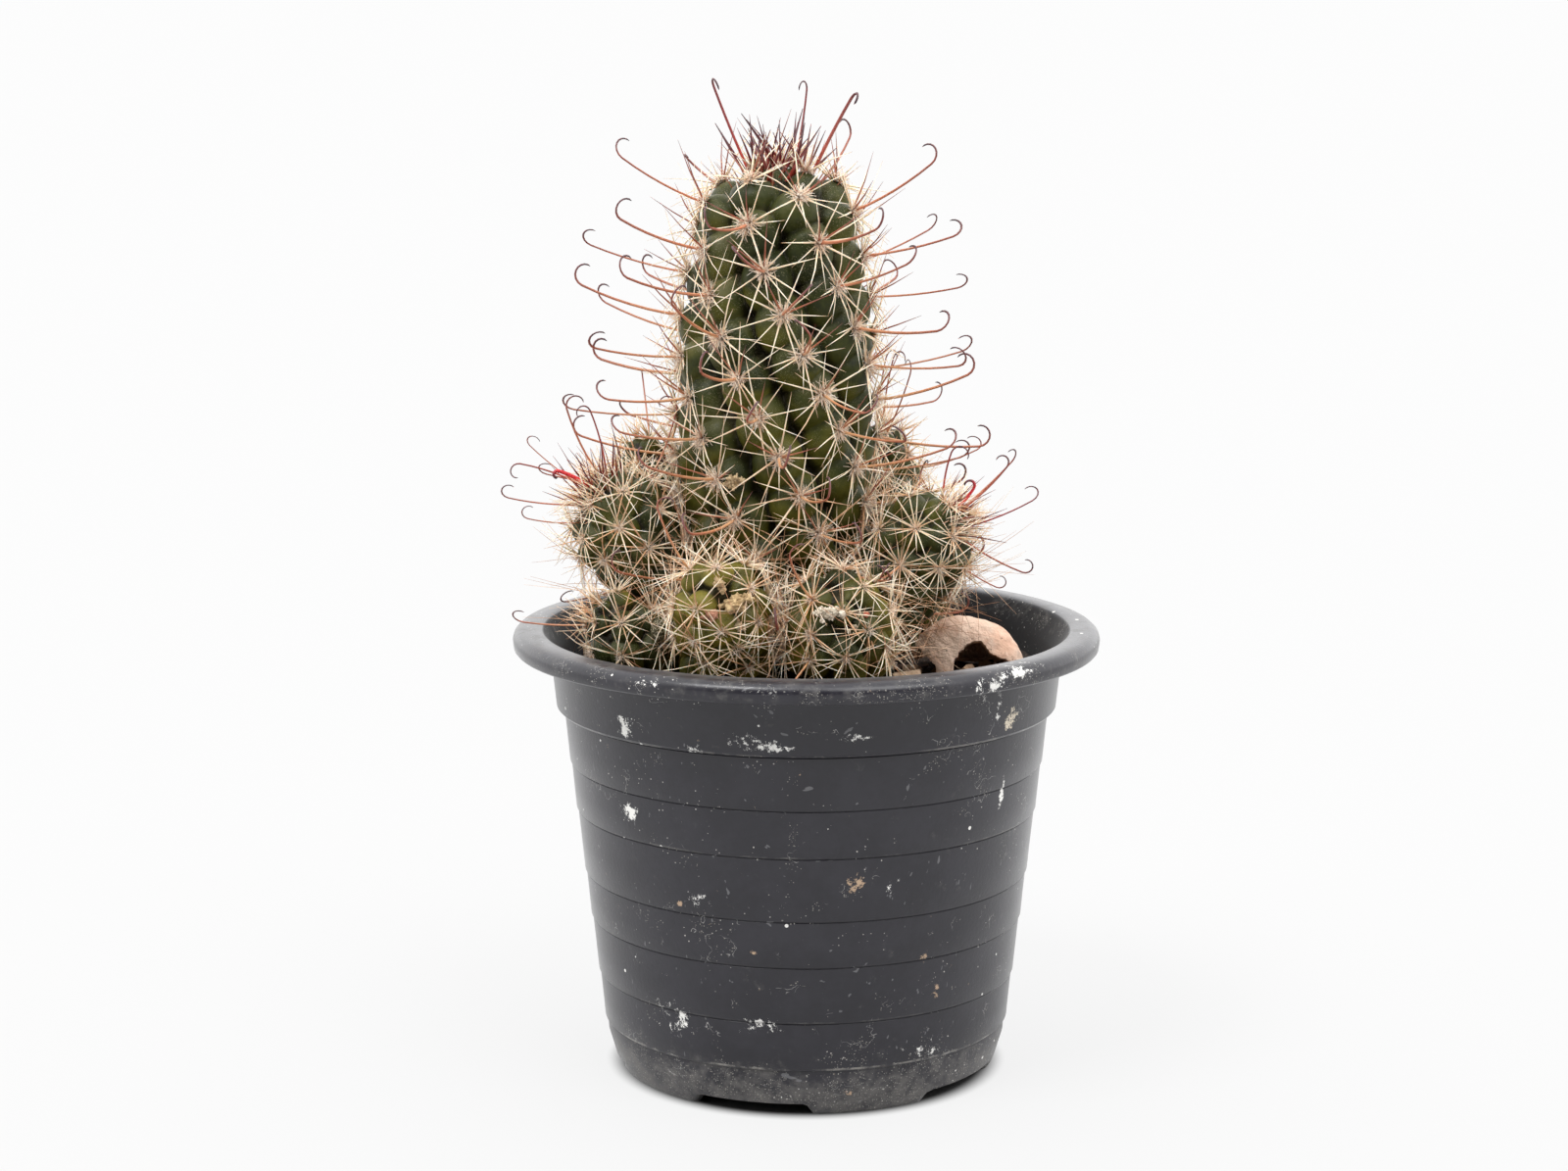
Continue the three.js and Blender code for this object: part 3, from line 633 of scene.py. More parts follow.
column = {
    "name": "stem_main",
    "base": (-5, 0, 60), "bend": (-5.6, 0, 108), "top": (-4.6, 0, 154.6),  # the curve that it grows along
    "radius": 16.8, "dome": 9,  # out to the tubercles' tips, and the height of the rounded top
    "waist": 0.12, "waistEnd": 0.45,  # how much thinner the foot is, and the share of the length it ends at
    "shoulder": 34, "narrow": 0.17,  # the length below the top that narrows, and by how much
    "tubercle": 3.4, "lump": 2.9,  # the tubercles' height in the mix and above it
    "area": 85, "firstAngle": 356,  # skin to each areole in mm2, and where the first one points
    "crownRadius": 8,  # areoles are smaller where the upper stem is thinner than this
    "steps": 200, "rows": 200, "seed": 0,
    "bareBelow": 70,  # no spine or wool is lower than this
    "radials": 11, "radial": 10.2, "thin": 0.168,  # number, length and radius of an areole's radial spines
    "centrals": 2, "central": 9.6,
    "hookEvery": 1, "hook": 17.5, "curl": 1.75, "hookThick": 0.27,
    "wool": 2.2, "fibres": 110, "fibre": 0.062,
    "bloom": 1.0, "olive": 0.36, "fresh": 1.0,  # shares of grey bloom, olive patches and red young spines
    "crown": rowsOf(
        hookColumns,
        ((-9.2, -1, 152.6), (-0.41, 0, 1), (0.3, -1, 0), 16.2, 1.35, -9, 0.95, 1.0),
        ((-2.4, 1.5, 153.2), (0.17, 0.05, 1), (-0.5, -0.9, 0), 14, 1.35, -8, 0.95, 0.85),
        ((0.4, -1, 152.0), (0.5, 0, 1), (0.35, -1, 0), 15.3, 1.35, -6, 0.8, 1.3)),
    "tufts": rowsOf(
        tuftColumns,
        ((-4.6, -1.0, 153.8), (0, 0, 1), 4.6, 0.4, 1.7, 22, 10.6, 0.32, 0.5, 1.0),
        ((-4.6, -0.5, 153.0), (0, 0, 1), 8.5, 1.2, 0.7, 24, 6.4, 0.12, 0.34, 0.35)),
}
offsetBuild = {
    "dome": 10, "waist": 0.25, "waistEnd": 0.45, "shoulder": 1, "narrow": 0, "tubercle": 1.9, "lump": 1.7,
    "area": 40, "firstAngle": 20, "crownRadius": 5, "steps": 104, "rows": 84, "bareBelow": 75,
    "radials": 15, "radial": 7.6, "thin": 0.138, "centrals": 0,
    "hookEvery": 6, "hook": 13.4, "curl": 1.5, "hookThick": 0.19,
    "wool": 1.35, "fibres": 46, "fibre": 0.045,
    "bloom": 0.6, "olive": 0.3, "fresh": 0.2, "crown": (), "tufts": (),
}
upperLeftTop = {
    "crown": rowsOf(
        hookColumns,
        ((-37.0, -8.5, 101.4), (-0.8, -0.1, 0.62), (0.3, -0.6, 0.75), 11.8, 1.2, -6, 0.2, 0.8),
        ((-33.4, -9.0, 103.6), (-0.2, -0.1, 0.97), (-0.9, -0.45, 0), 11.5, 1.2, -6, 0.9, 0.95),
        ((-37.4, -8.5, 101.8), (-0.86, -0.1, 0.5), (-0.3, -0.2, -0.93), 11.2, 1.2, 2, 0.8, 0.9),
        ((-38.4, -8.5, 98.6), (-0.97, -0.1, 0.12), (0, -0.5, 0.87), 11.6, 1.3, -8, 0.5, 1.0),
        ((-38.6, -9.0, 95.6), (-0.98, -0.15, 0), (0, -0.4, 0.9), 8.2, 1.2, 0, 0.4, 0.8),
        ((-36.8, -9.6, 102.2), (-0.82, -0.15, 0.58), (-0.2, -0.3, -0.93), 5.2, 0.6, 0, 1.3, 2.1)),
    "tufts": rowsOf(
        tuftColumns,
        ((-29.9, -9.0, 102.6), (-0.1, -0.3, 1), 4.6, 1.1, 0.9, 34, 5.8, 0.13, 0.16, 0.0),
        ((-34.0, -8.6, 102.8), (-0.35, -0.1, 1), 3.4, 0.6, 0.8, 11, 8.6, 0.17, 0.5, 1.0),
        ((-35.4, -9.2, 99.6), (-0.75, -0.45, 0.5), 3.2, 1.0, 0.6, 42, 4.8, 0.14, 0.26, 0.16),
        ((-35.8, -8.0, 100.4), (-0.8, -0.25, 0.5), 3.4, 0.9, 0.5, 60, 5.6, 0.125, 0.13, 0.0),
        ((-36.0, -8.0, 101.2), (-0.5, -0.1, 0.8), 3.6, 0.5, 0.8, 13, 7.6, 0.15, 0.5, 0.9)),
}
rightTop = {
    "crown": rowsOf(
        hookColumns,
        ((24.2, -13.0, 98.0), (0.55, -0.15, 0.83), (-0.8, -0.3, 0.4), 5.4, 0.9, -14, 1.3, 1.8),
        ((22.6, -12.0, 100.6), (0.15, -0.1, 1), (0.9, -0.4, 0), 7.6, 1.5, -6, 0.9, 1.0),
        ((25.6, -11.0, 98.0), (0.72, 0, 0.7), (-0.7, -0.3, 0.6), 10.6, 1.2, -8, 0.7, 1.1),
        ((25.6, -12.0, 93.6), (0.85, -0.1, -0.46), (0.5, -0.3, 0.8), 11.8, 1.2, -8, 0.6, 1.0),
        ((24.6, -13.0, 89.8), (0.8, -0.15, -0.55), (0.4, -0.3, 0.8), 8.2, 1.1, -4, 0.4, 0.8)),
    "tufts": rowsOf(
        tuftColumns,
        ((24.4, -12.4, 97.0), (0.75, -0.45, 0.5), 3.4, 1.0, 0.6, 42, 4.8, 0.14, 0.26, 0.16),
        ((24.4, -11.6, 97.0), (0.8, -0.35, 0.45), 3.6, 0.9, 0.5, 60, 5.6, 0.125, 0.13, 0.0),
        ((24.8, -11.4, 97.4), (0.8, -0.2, 0.45), 3.6, 0.7, 0.8, 15, 7.2, 0.14, 0.5, 0.9)),
}
offsetList = (
    {"name": "offset_upper_left", "base": (-21, -5, 61), "bend": (-21.5, -5.5, 88), "top": (-37, -7.5, 101.5),
     "radius": 9.2, "waist": 0.55, "waistEnd": 0.85, "firstAngle": 200, "hookEvery": 8, "fresh": 1.0,
     "bareBelow": 87, "olive": 0.05, **upperLeftTop},
    {"name": "offset_lower_left", "base": (-23, -15, 61), "bend": (-27, -16, 78), "top": (-35, -19.5, 83.5),
     "radius": 7.4, "firstAngle": 114, "olive": 0.6},
    {"name": "offset_front_left", "base": (-12.5, -19, 61), "bend": (-14, -22, 86), "top": (-14.8, -33.4, 89),
     "radius": 8.4, "firstAngle": 150, "olive": 1.2, "hookEvery": 11, "fresh": 0.0, "crownRadius": 3.5,
     "thin": 0.142, "radial": 8.3, "radials": 13},
    {"name": "offset_front_right", "base": (4, -18, 61), "bend": (5, -22, 82), "top": (6, -33, 87),
     "radius": 9.4, "firstAngle": 12, "olive": 0.85, "hookEvery": 11, "fresh": 0.1, "crownRadius": 3.5,
     "thin": 0.138, "radial": 8.1, "radials": 14},
    {"name": "offset_right", "base": (11.6, -9.5, 61), "bend": (10.6, -10.5, 90), "top": (26.5, -10, 97.5),
     "radius": 9.2, "waist": 0.58, "waistEnd": 0.85, "firstAngle": 342, "hookEvery": 9, "fresh": 1.0,
     "bareBelow": 87, "olive": 0.05, "radials": 17, "radial": 7.2, "thin": 0.136, **rightTop},
    {"name": "offset_back_right", "base": (9, 15, 61), "bend": (9, 16.5, 92), "top": (14.5, 18, 108.5),
     "radius": 7.8, "firstAngle": 80, "fresh": 0.7},
    {"name": "offset_low_right", "base": (18, 17, 61), "bend": (18, 19, 79), "top": (22, 24, 86),
     "radius": 6.4, "firstAngle": 40},
    {"name": "offset_back", "base": (-4, 20, 61), "bend": (-4, 24, 86), "top": (-5.4, 33, 95),
     "radius": 9, "fresh": 0.5},
    {"name": "offset_back_left", "base": (-20, 12, 61), "bend": (-22, 13, 90), "top": (-29, 15, 107),
     "radius": 8.2, "fresh": 0.6},
)


def shapeOf(spec):  # a stem with its axis measured along its length
    ends = [np.array(spec[key], float) for key in ("base", "bend", "top")]
    shares = np.linspace(0, 1, 401)[:, None]
    line = (1 - shares) ** 2 * ends[0] + 2 * (1 - shares) * shares * ends[1] + shares ** 2 * ends[2]
    travelled = np.concatenate([[0], np.cumsum(np.linalg.norm(np.diff(line, axis=0), axis=1))])
    return {**spec, "ends": ends, "shares": shares[:, 0], "travelled": travelled, "length": travelled[-1]}


def radiusAt(stem, t):  # out to the tips of the tubercles
    below = stem["length"] - t
    waist = 1 - stem["waist"] * (1 - smooth(t / (stem["length"] * stem["waistEnd"])))
    narrow = 1 - stem["narrow"] * smooth((stem["shoulder"] - below) / (stem["shoulder"] * 0.8))
    cap = np.clip(1 - below / stem["dome"], 0, 1)
    return stem["radius"] * waist * narrow * np.sqrt(1 - cap * cap)


def coreRadiusAt(stem, t):
    radius = radiusAt(stem, t)
    return np.maximum(radius - stem["tubercle"], radius * 0.45)


def slopeAt(stem, t):
    return (radiusAt(stem, t + 0.1) - radiusAt(stem, t - 0.1)) / 0.2


def frameAt(stem, t):  # centre of the stem there, and the directions along, sideways and to the back
    t = np.atleast_1d(np.asarray(t, float))
    share = np.interp(t, stem["travelled"], stem["shares"])[:, None]
    base, bend, top = stem["ends"]
    centre = (1 - share) ** 2 * base + 2 * (1 - share) * share * bend + share ** 2 * top
    along = 2 * (1 - share) * (bend - base) + 2 * share * (top - bend)
    along /= np.linalg.norm(along, axis=1)[:, None]
    centre = centre + along * (t - np.clip(t, 0, stem["length"]))[:, None]
    side = np.array((1.0, 0, 0)) - along * along[:, :1]
    side /= np.linalg.norm(side, axis=1)[:, None]
    return centre, along, side, np.cross(along, side)


def areolesOf(stem):
    areoles = []
    angle = math.radians(stem["firstAngle"])
    t = 0.0
    while t < stem["length"] - 0.05:
        radius = float(radiusAt(stem, t))
        isHigh = t > stem["length"] / 2
        young = min(max(radius / stem["crownRadius"], 0.3), 1) if isHigh else 1
        size = math.sqrt(stem["area"]) * young
        slope = float(slopeAt(stem, t))
        centre, along, side, front = (row[0] for row in frameAt(stem, t))
        outward = side * math.cos(angle) + front * math.sin(angle)
        tip = centre + outward * radius
        if tip[2] - size * 0.4 > soilLevel + 2:
            areoles.append({"index": len(areoles), "t": t, "size": size, "young": young, "along": along,
                            "tip": tip, "normal": unit(outward - along * slope),
                            "heart": tip - along * size * 0.14})  # the middle of its tubercle
        t += size * size / (2 * math.pi * max(radius, 1.2) * math.hypot(1, slope))
        angle += math.radians(divergence)
    return areoles


stems = [shapeOf(column)]
stems += [shapeOf({**offsetBuild, **own, "seed": 1000 * (i + 1)}) for i, own in enumerate(offsetList)]
for stem in stems:
    stem["areoles"] = areolesOf(stem)
print("areoles:", [len(stem["areoles"]) for stem in stems])


# Stem bodies

skin = {
    "clear": 0.5, "rises": 5,  # the relief begins this far above the mix and is full this much higher
    "reach": 0.70, "steepest": 0.97, "full": 0.45,  # the round of a tubercle, in sizes of its areole
    "creaseReach": 0.07, "crease": 0.22,
    "topSink": 0.6,
}
fleshTones = {
    "green": ((0.017, 0.0215, 0.0055), (0.045, 0.051, 0.0105)),
    "olive": ((0.050, 0.052, 0.005), (0.118, 0.108, 0.010)),
    "yellow": ((0.098, 0.092, 0.009), (0.245, 0.20, 0.026)),  # in place of olive on the palest stems
    "creases": (0.008, 0.006, 0.002),
    # painted shade in the creases
    "bloom": (0.20, 0.17, 0.10),
    "dots": (0.46, 0.40, 0.26),
    "cork": (0.060, 0.040, 0.020),
}


def nearAreoles(stem):
    tree = KDTree(len(stem["areoles"]))
    for i, areole in enumerate(stem["areoles"]):
        tree.insert(areole["heart"], i)
    tree.balance()
    return tree


def reliefAt(stem, place, found):  # how far the skin sinks, its height on the tubercle, and its upper side
    nearest = stem["areoles"][found[0][1]]
    size = nearest["size"]
    dome = 1 - math.sqrt(1 - min(found[0][2] / (size * skin["reach"]), skin["steepest"]) ** 2)
    crease = math.exp(-(found[1][2] - found[0][2]) / (size * skin["creaseReach"]))
    deep = dome / skin["full"] + skin["crease"] * crease * min(1, dome * 5)
    sink = stem["lump"] * nearest["young"] ** 0.7 * deep
    lump = noise.noise(Vector(place * 0.16)) * 0.35 + noise.noise(Vector(place * 0.5)) * 0.1
    rise = 1 - min(dome / skin["full"], 1.2) / 1.2
    return sink - lump, rise, 0.5 + (place - nearest["heart"]) @ nearest["along"] / size


def makeBody(stem):  # a spun cylinder bent along the axis and raised to a tubercle at each areole
    spread = np.linspace(0, 1, stem["rows"])
    heights = stem["length"] * (1 - (1 - spread) ** 1.25)  # closer together towards the top
    bm = spunProfile([(0, -1e-3)] + [(1.0, t) for t in heights[:-1]] + [(0, stem["length"])], stem["steps"])
    mesh = meshFrom(bm, stem["name"])
    count = len(mesh.vertices)
    places = np.empty(count * 3)
    mesh.vertices.foreach_get("co", places)
    places = places.reshape(-1, 3)
    t = np.clip(places[:, 2], 0, stem["length"])
    onAxis = np.hypot(places[:, 0], places[:, 1]) < 0.1
    angle = np.arctan2(places[:, 1], places[:, 0])
    centre, along, side, front = frameAt(stem, t)
    outward = side * np.cos(angle)[:, None] + front * np.sin(angle)[:, None]
    raised = radiusAt(stem, t)
    normal = outward - along * slopeAt(stem, t)[:, None]
    normal /= np.linalg.norm(normal, axis=1)[:, None]
    surface = centre + outward * raised[:, None]
    above = smooth((surface[:, 2] - soilLevel - skin["clear"]) / skin["rises"])
    radius = coreRadiusAt(stem, t) * (1 - above) + raised * above
    surface = centre + outward * radius[:, None]
    tree = nearAreoles(stem)
    tones = np.ones((count, 4))
    tones[:, 1] = t / stem["length"]
    for i in range(count):
        sink, rise, upper = reliefAt(stem, surface[i], tree.find_n(surface[i], 2))
        surface[i] -= normal[i] * sink * above[i]
        tones[i, 0], tones[i, 2] = min(max(rise, 0), 1), min(max(upper, 0), 1)
    surface[onAxis] = centre[onAxis]
    top = onAxis & (t > 1)
    surface[top] = centre[top] - along[top] * skin["topSink"]
    mesh.vertices.foreach_set("co", surface.ravel())
    mesh.attributes.new("tone", "FLOAT_COLOR", "POINT").data.foreach_set("color", tones.ravel())
    mesh.update()
    return mesh


def makeFleshMaterial(name, bloom, olive):
    material, tree, shader, place = newMaterial(name, {"Specular IOR Level": 0.16})
    rise, along, upper = splitColour(tree, toneOf(tree, "Color"))[:3]
    colour = mottle(tree, place, 0.12, *fleshTones["green"])
    patchy = mottle(tree, place, 0.16, *fleshTones["yellow" if olive > 0.5 else "olive"])
    # some broad patches are olive; the lighter olive on the lower side of each tubercle is a painted glow of
    # light through the flesh
    under = rangeNode(tree, upper, 0.62, 0.22, (0.0, 0.16 + 0.10 * olive))
    lower = rangeNode(tree, along, 0.85, 0.45, (0.0, 0.10))
    broad = mathNode(tree, "ADD", noiseNode(tree, place, 0.06, 2.0, 0.5), mathNode(tree, "ADD", under, lower))
    share = (0.0, min(0.36 + 0.56 * olive, 1.0))
    oliveAndGlow = rangeNode(tree, broad, 0.70 - 0.30 * olive, 0.82 - 0.16 * olive, share)
    colour = mixColour(tree, oliveAndGlow, colour, patchy)
    # painted shade: creases are darker and browner
    colour = layer(tree, colour, fleshTones["creases"], rangeNode(tree, rise, 0.36, 0.0, (0.0, 0.92)))
    # a grey bloom of fine pale dots, thick in patches, and thicker on the upper side of each tubercle as a
    # painted highlight
    patches = noiseNode(tree, place, 0.12, 4.0, 0.65)
    raised = mathNode(tree, "MULTIPLY_ADD", upper, 0.20, patches)
    younger = rangeNode(tree, along, 0.30, 0.80, (0.3, 1.0))
    bloomAndHighlight = rangeNode(tree, raised, 0.62, 0.84, (0.0, 0.20 * bloom))
    colour = layer(tree, colour, fleshTones["bloom"], bloomAndHighlight, younger)
    dots = specks(tree, place, 6.0, 0.36, 0.14, mathNode(tree, "MULTIPLY_ADD", upper, -0.10, 0.52))
    fewer = specks(tree, place, 3.6, 0.20, 0.16, 0.56)
    stippleAndHighlight = times(tree, mathNode(tree, "MAXIMUM", dots, fewer), 0.16 + 0.28 * bloom)
    stippleAndHighlight = times(tree, stippleAndHighlight, younger)
    colour = layer(tree, colour, fleshTones["dots"], stippleAndHighlight)
    # old skin near the soil turns brown
    corky = rangeNode(tree, mathNode(tree, "MULTIPLY_ADD", patches, 0.25, along), 0.42, 0.20, (0.0, 0.6))
    setColour(tree, shader, layer(tree, colour, fleshTones["cork"], corky))
    tree.links.new(mathNode(tree, "MULTIPLY_ADD", stippleAndHighlight, 0.4, 0.42), shader.inputs["Roughness"])
    pores = mathNode(tree, "MULTIPLY_ADD", dots, 0.7, noiseNode(tree, place, 2.4, 4.0, 0.6))
    setBump(tree, shader, pores, 0.4, 0.12)
    return material


# Spines: each is a strand with its points, radii, first side and tone, which holds its kind (0 radial, 0.5
# central, 1 hooked), how red it is, and a chance number

hookShape = {
    "root": 0.6,  # starts this far under the skin
    "shaftSteps": 6, "shaftBend": 18,
    "curlSteps": 9, "curlTurn": (175, 45),  # degrees: the least, and what chance adds
    "taper": 0.45, "point": 0.05,
}
clearance = {"mix": 0.5, "rim": 0.5, "wall": 0.6}
spineTones = {  # from the root to the tip
    "radial": ((0.0, (0.93, 0.57, 0.32)), (0.14, (0.97, 0.73, 0.51)), (0.72, (0.99, 0.83, 0.67)),
               (0.93, (0.82, 0.54, 0.35)), (1.0, (0.42, 0.20, 0.12))),
    "old": ((0.0, (0.60, 0.28, 0.12)), (0.5, (0.66, 0.36, 0.18)), (1.0, (0.36, 0.14, 0.07))),
    "central": ((0.0, (0.62, 0.33, 0.17)), (0.3, (0.45, 0.17, 0.09)), (0.65, (0.24, 0.075, 0.05)),
                (1.0, (0.045, 0.022, 0.028))),
    "hook": ((0.0, (0.70, 0.42, 0.22)), (0.22, (0.50, 0.22, 0.105)), (0.45, (0.30, 0.085, 0.050)),
             (0.70, (0.12, 0.036, 0.038)), (1.0, (0.05, 0.030, 0.040))),
    "fresh": ((0.0, (0.66, 0.055, 0.035)), (0.20, (0.27, 0.020, 0.022)), (0.55, (0.085, 0.012, 0.019)),
              (1.0, (0.035, 0.012, 0.018))),
    "vivid": ((0.0, (0.72, 0.035, 0.030)), (0.45, (0.55, 0.012, 0.022)), (0.70, (0.12, 0.010, 0.020)),
              (1.0, (0.035, 0.016, 0.022))),
}
woolTones = ((0.0, (0.94, 0.66, 0.48)), (0.4, (0.98, 0.82, 0.66)), (1.0, (0.99, 0.94, 0.85)))


def coneTemplate(sides, rings):  # corner angles, ring numbers and faces of a unit cone cut into rings
    bm = bmesh.new()
    bmesh.ops.create_cone(bm, cap_ends=True, segments=sides, radius1=1, radius2=1, depth=1)
    bmesh.ops.translate(bm, verts=bm.verts, vec=(0, 0, 0.5))
    upright = [edge for edge in bm.edges if abs(edge.verts[0].co.z - edge.verts[1].co.z) > 0.5]
    if rings > 1:
        bmesh.ops.subdivide_edges(bm, edges=upright, cuts=rings - 1, use_grid_fill=True)
    bm.verts.index_update()
    angles = np.array([math.atan2(vert.co.y, vert.co.x) for vert in bm.verts])
    ringOf = np.array([round(vert.co.z * rings) for vert in bm.verts])
    faces = [[vert.index for vert in face.verts] for face in bm.faces]
    bm.free()
    return angles, ringOf, faces


def strandMesh(name, strands, sides):  # one mesh of many tapered strands, each with its own points
    places, tones, faces = [], [], []
    start = 0
    for rings in sorted({len(strand["points"]) - 1 for strand in strands}):
        angles, ringOf, shape = coneTemplate(sides, rings)
        chosen = [strand for strand in strands if len(strand["points"]) - 1 == rings]
        points = np.array([strand["points"] for strand in chosen])
        radii = np.array([strand["radii"] for strand in chosen])
        along = np.empty_like(points)
        along[:, 1:-1] = points[:, 2:] - points[:, :-2]
        along[:, 0] = points[:, 1] - points[:, 0]
        along[:, -1] = points[:, -1] - points[:, -2]
        along /= np.linalg.norm(along, axis=2)[:, :, None]
        flat = np.array([strand["flat"] for strand in chosen])[:, None, :]
        flat = flat - along * (along * flat).sum(2)[:, :, None]
        flat /= np.linalg.norm(flat, axis=2)[:, :, None]
        other = np.cross(along, flat)
        cosines, sines = np.cos(angles)[None, :, None], np.sin(angles)[None, :, None]
        ring = flat[:, ringOf] * cosines + other[:, ringOf] * sines
        places.append((points[:, ringOf] + ring * radii[:, ringOf][:, :, None]).reshape(-1, 3))
        tone = np.ones((len(chosen), len(ringOf), 4))
        tone[:, :, 0] = ringOf / rings
        tone[:, :, 1:] = np.array([strand["tone"] for strand in chosen])[:, None, :]
        tones.append(tone.reshape(-1, 4))
        for i in range(len(chosen)):
            faces += [[start + i * len(ringOf) + corner for corner in face] for face in shape]
        start += len(chosen) * len(ringOf)
    mesh = bpy.data.meshes.new(name)
    mesh.from_pydata(np.concatenate(places).tolist(), [], faces)
    mesh.polygons.foreach_set("use_smooth", [True] * len(mesh.polygons))
    tone = mesh.attributes.new("tone", "FLOAT_COLOR", "POINT")
    tone.data.foreach_set("color", np.concatenate(tones).ravel())
    return mesh


def facingOf(areole):  # up and across in the areole's own face
    normal = areole["normal"]
    rising = up - normal * normal[2]
    rising = unit(rising) if rising @ rising > 0.05 else np.array((0.0, -1.0, 0.0))
    return normal, rising, np.cross(normal, rising)


def straightStrand(areole, angle, lift, length, thick, tone, bow):  # angles in radians
    normal, rising, across = facingOf(areole)
    flat = rising * math.cos(angle) + across * math.sin(angle)
    along = flat * math.cos(lift) + normal * math.sin(lift)
    side = unit(np.cross(along, normal) + 1e-6)
    middle = areole["tip"] + along * length * 0.5 + normal * bow * length
    points = [areole["tip"] - normal * 0.3, middle, areole["tip"] + along * length]
    return {"points": points, "radii": (thick, thick * 0.66, thick * 0.12), "flat": side, "tone": tone}


def hookedStrand(stem, areole, shorter=1.0):
    normal, rising, across = facingOf(areole)
    index = areole["index"]
    lean = math.radians(-50 + 100 * draw(index, 21))
    curlTo = areole.get("curl", rising * math.cos(lean) + across * math.sin(lean))
    shaft = areole.get("hook", stem["hook"] * (0.85 + 0.2 * draw(index, 23))) * shorter
    bow = areole.get("bow", stem["curl"])
    heading = math.radians(areole.get("bend", -14 + 24 * draw(index, 25)))
    here = np.array(areole["tip"], float)
    points = [here - normal * hookShape["root"]]
    steps, bends = hookShape["shaftSteps"], hookShape["curlSteps"]
    for i in range(steps):
        here = here + (normal * math.cos(heading) + curlTo * math.sin(heading)) * shaft / steps
        points.append(here)
        heading += math.radians(hookShape["shaftBend"] / steps)
    least, more = hookShape["curlTurn"]
    turn = math.radians((least + more * draw(index, 29)) / bends)
    for i in range(bends):
        step = bow * (1.2 - 0.5 * i / bends) * turn
        here = here + (normal * math.cos(heading + turn / 2) + curlTo * math.sin(heading + turn / 2)) * step
        points.append(here)
        heading += turn
    count = len(points) - 1
    thick = stem["hookThick"] * areole.get("stout", 0.85 + 0.3 * draw(index, 31))
    taper = [thick * (1 - hookShape["taper"] * (i / count) ** 0.8) for i in range(count)]
    taper.append(hookShape["point"])
    tone = (1.0, areole["fresh"], draw(index + stem["seed"], 27))
    return {"points": points, "radii": taper, "flat": unit(np.cross(normal, curlTo)), "tone": tone}


def crownHooks(stem):
    strands = []
    for i, hook in enumerate(stem["crown"]):
        normal = unit(np.array(hook["rise"], float))
        curl = np.array(hook["curl"], float)
        curl = unit(curl - normal * (curl @ normal))
        strands.append(hookedStrand(stem, {**hook, "normal": normal, "curl": curl, "index": i}))
    return strands


def tuftStrands(stem):
    strands = []
    for i, tuft in enumerate(stem["tufts"]):
        axis = unit(np.array(tuft["rise"], float))
        side = unit(np.cross(axis, (0.3, 1, 0.2)))
        other = np.cross(axis, side)
        for k in range(tuft["count"]):
            turn = k * 2.4 + i
            out = math.sqrt((k + 0.5) / tuft["count"])
            flat = side * math.cos(turn) + other * math.sin(turn)
            around = other * math.cos(turn) - side * math.sin(turn)
            root = np.array(tuft["at"]) + flat * tuft["radius"] * out
            root = root - axis * tuft["radius"] * 0.3 * out * out  # the tuft's base is domed
            lean = tuft["spread"] * out + tuft["cross"] * (draw(k, 501 + i) - 0.55)
            along = unit(axis + flat * lean + around * tuft["cross"] * (draw(k, 521 + i) - 0.5))
            length = tuft["length"] * (0.7 + 0.5 * draw(k, 541 + i))
            thick = tuft["thick"] * (0.8 + 0.4 * draw(k, 561 + i))
            tone = (tuft["kind"], tuft["fresh"] * (0.7 + 0.3 * draw(k, 581 + i)), 0.6 * draw(k, 601 + i))
            middle = root + along * length * 0.5 + flat * length * 0.03
            strands.append({"points": [root - axis * 0.8, middle, root + along * length], "flat": around,
                            "radii": (thick, thick * 0.8, thick * 0.18), "tone": tone})
    return strands


def bodySpheres():  # balls along every stem, for quick tests
    balls = []
    for number, stem in enumerate(stems):
        for t in np.linspace(0, stem["length"] - stem["radius"] * 0.5, 16):
            centre = frameAt(stem, t)[0][0]
            radius = float(radiusAt(stem, t)) - stem["tubercle"] * 0.6
            balls.append((number, *centre, radius))
    return np.array(balls)


balls = bodySpheres()


def isClear(points, owner):  # of the mix, the pot, the other stems and the sides of the part
    for point in points[1:]:
        radius = math.hypot(point[0], point[1])
        if radius > reach or point[2] < soilLevel + clearance["mix"]:
            return False
        inPot = point[2] < pot["height"] + clearance["rim"]
        if inPot and radius > pot["bandTop"] - pot["thickness"] - clearance["wall"]:
            return False
        away = np.linalg.norm(balls[:, 1:4] - point, axis=1) - balls[:, 4]
        if (away[balls[:, 0] != owner] < 0).any():
            return False
    return True


def radialsOf(stem, areole, key, infant):
    strands = []
    young = areole["young"]
    worn = 1 - 0.3 * smooth((areole["tip"][2] - 95) / 40)  # fewer old brown spines towards the top
    for k in range(int(stem["radials"] * (0.25 + 0.75 * young))):
        angle = 2 * math.pi * (k + 0.8 * draw(key, k + 41)) / stem["radials"] + key * 1.1
        lift = math.radians(3 + 24 * draw(key, k + 61) + 60 * infant)
        length = stem["radial"] * (0.62 + 0.56 * draw(key, k + 81)) * (0.45 + 0.55 * young)
        thick = stem["thin"] * (0.75 + 0.5 * draw(key, k + 101))
        bow = 0.08 * (draw(key, k + 121) - 0.4)
        tone = (0.0, 0.0, worn * draw(key, k + 141))
        strands.append(straightStrand(areole, angle, lift, length, thick, tone, bow))
    return strands


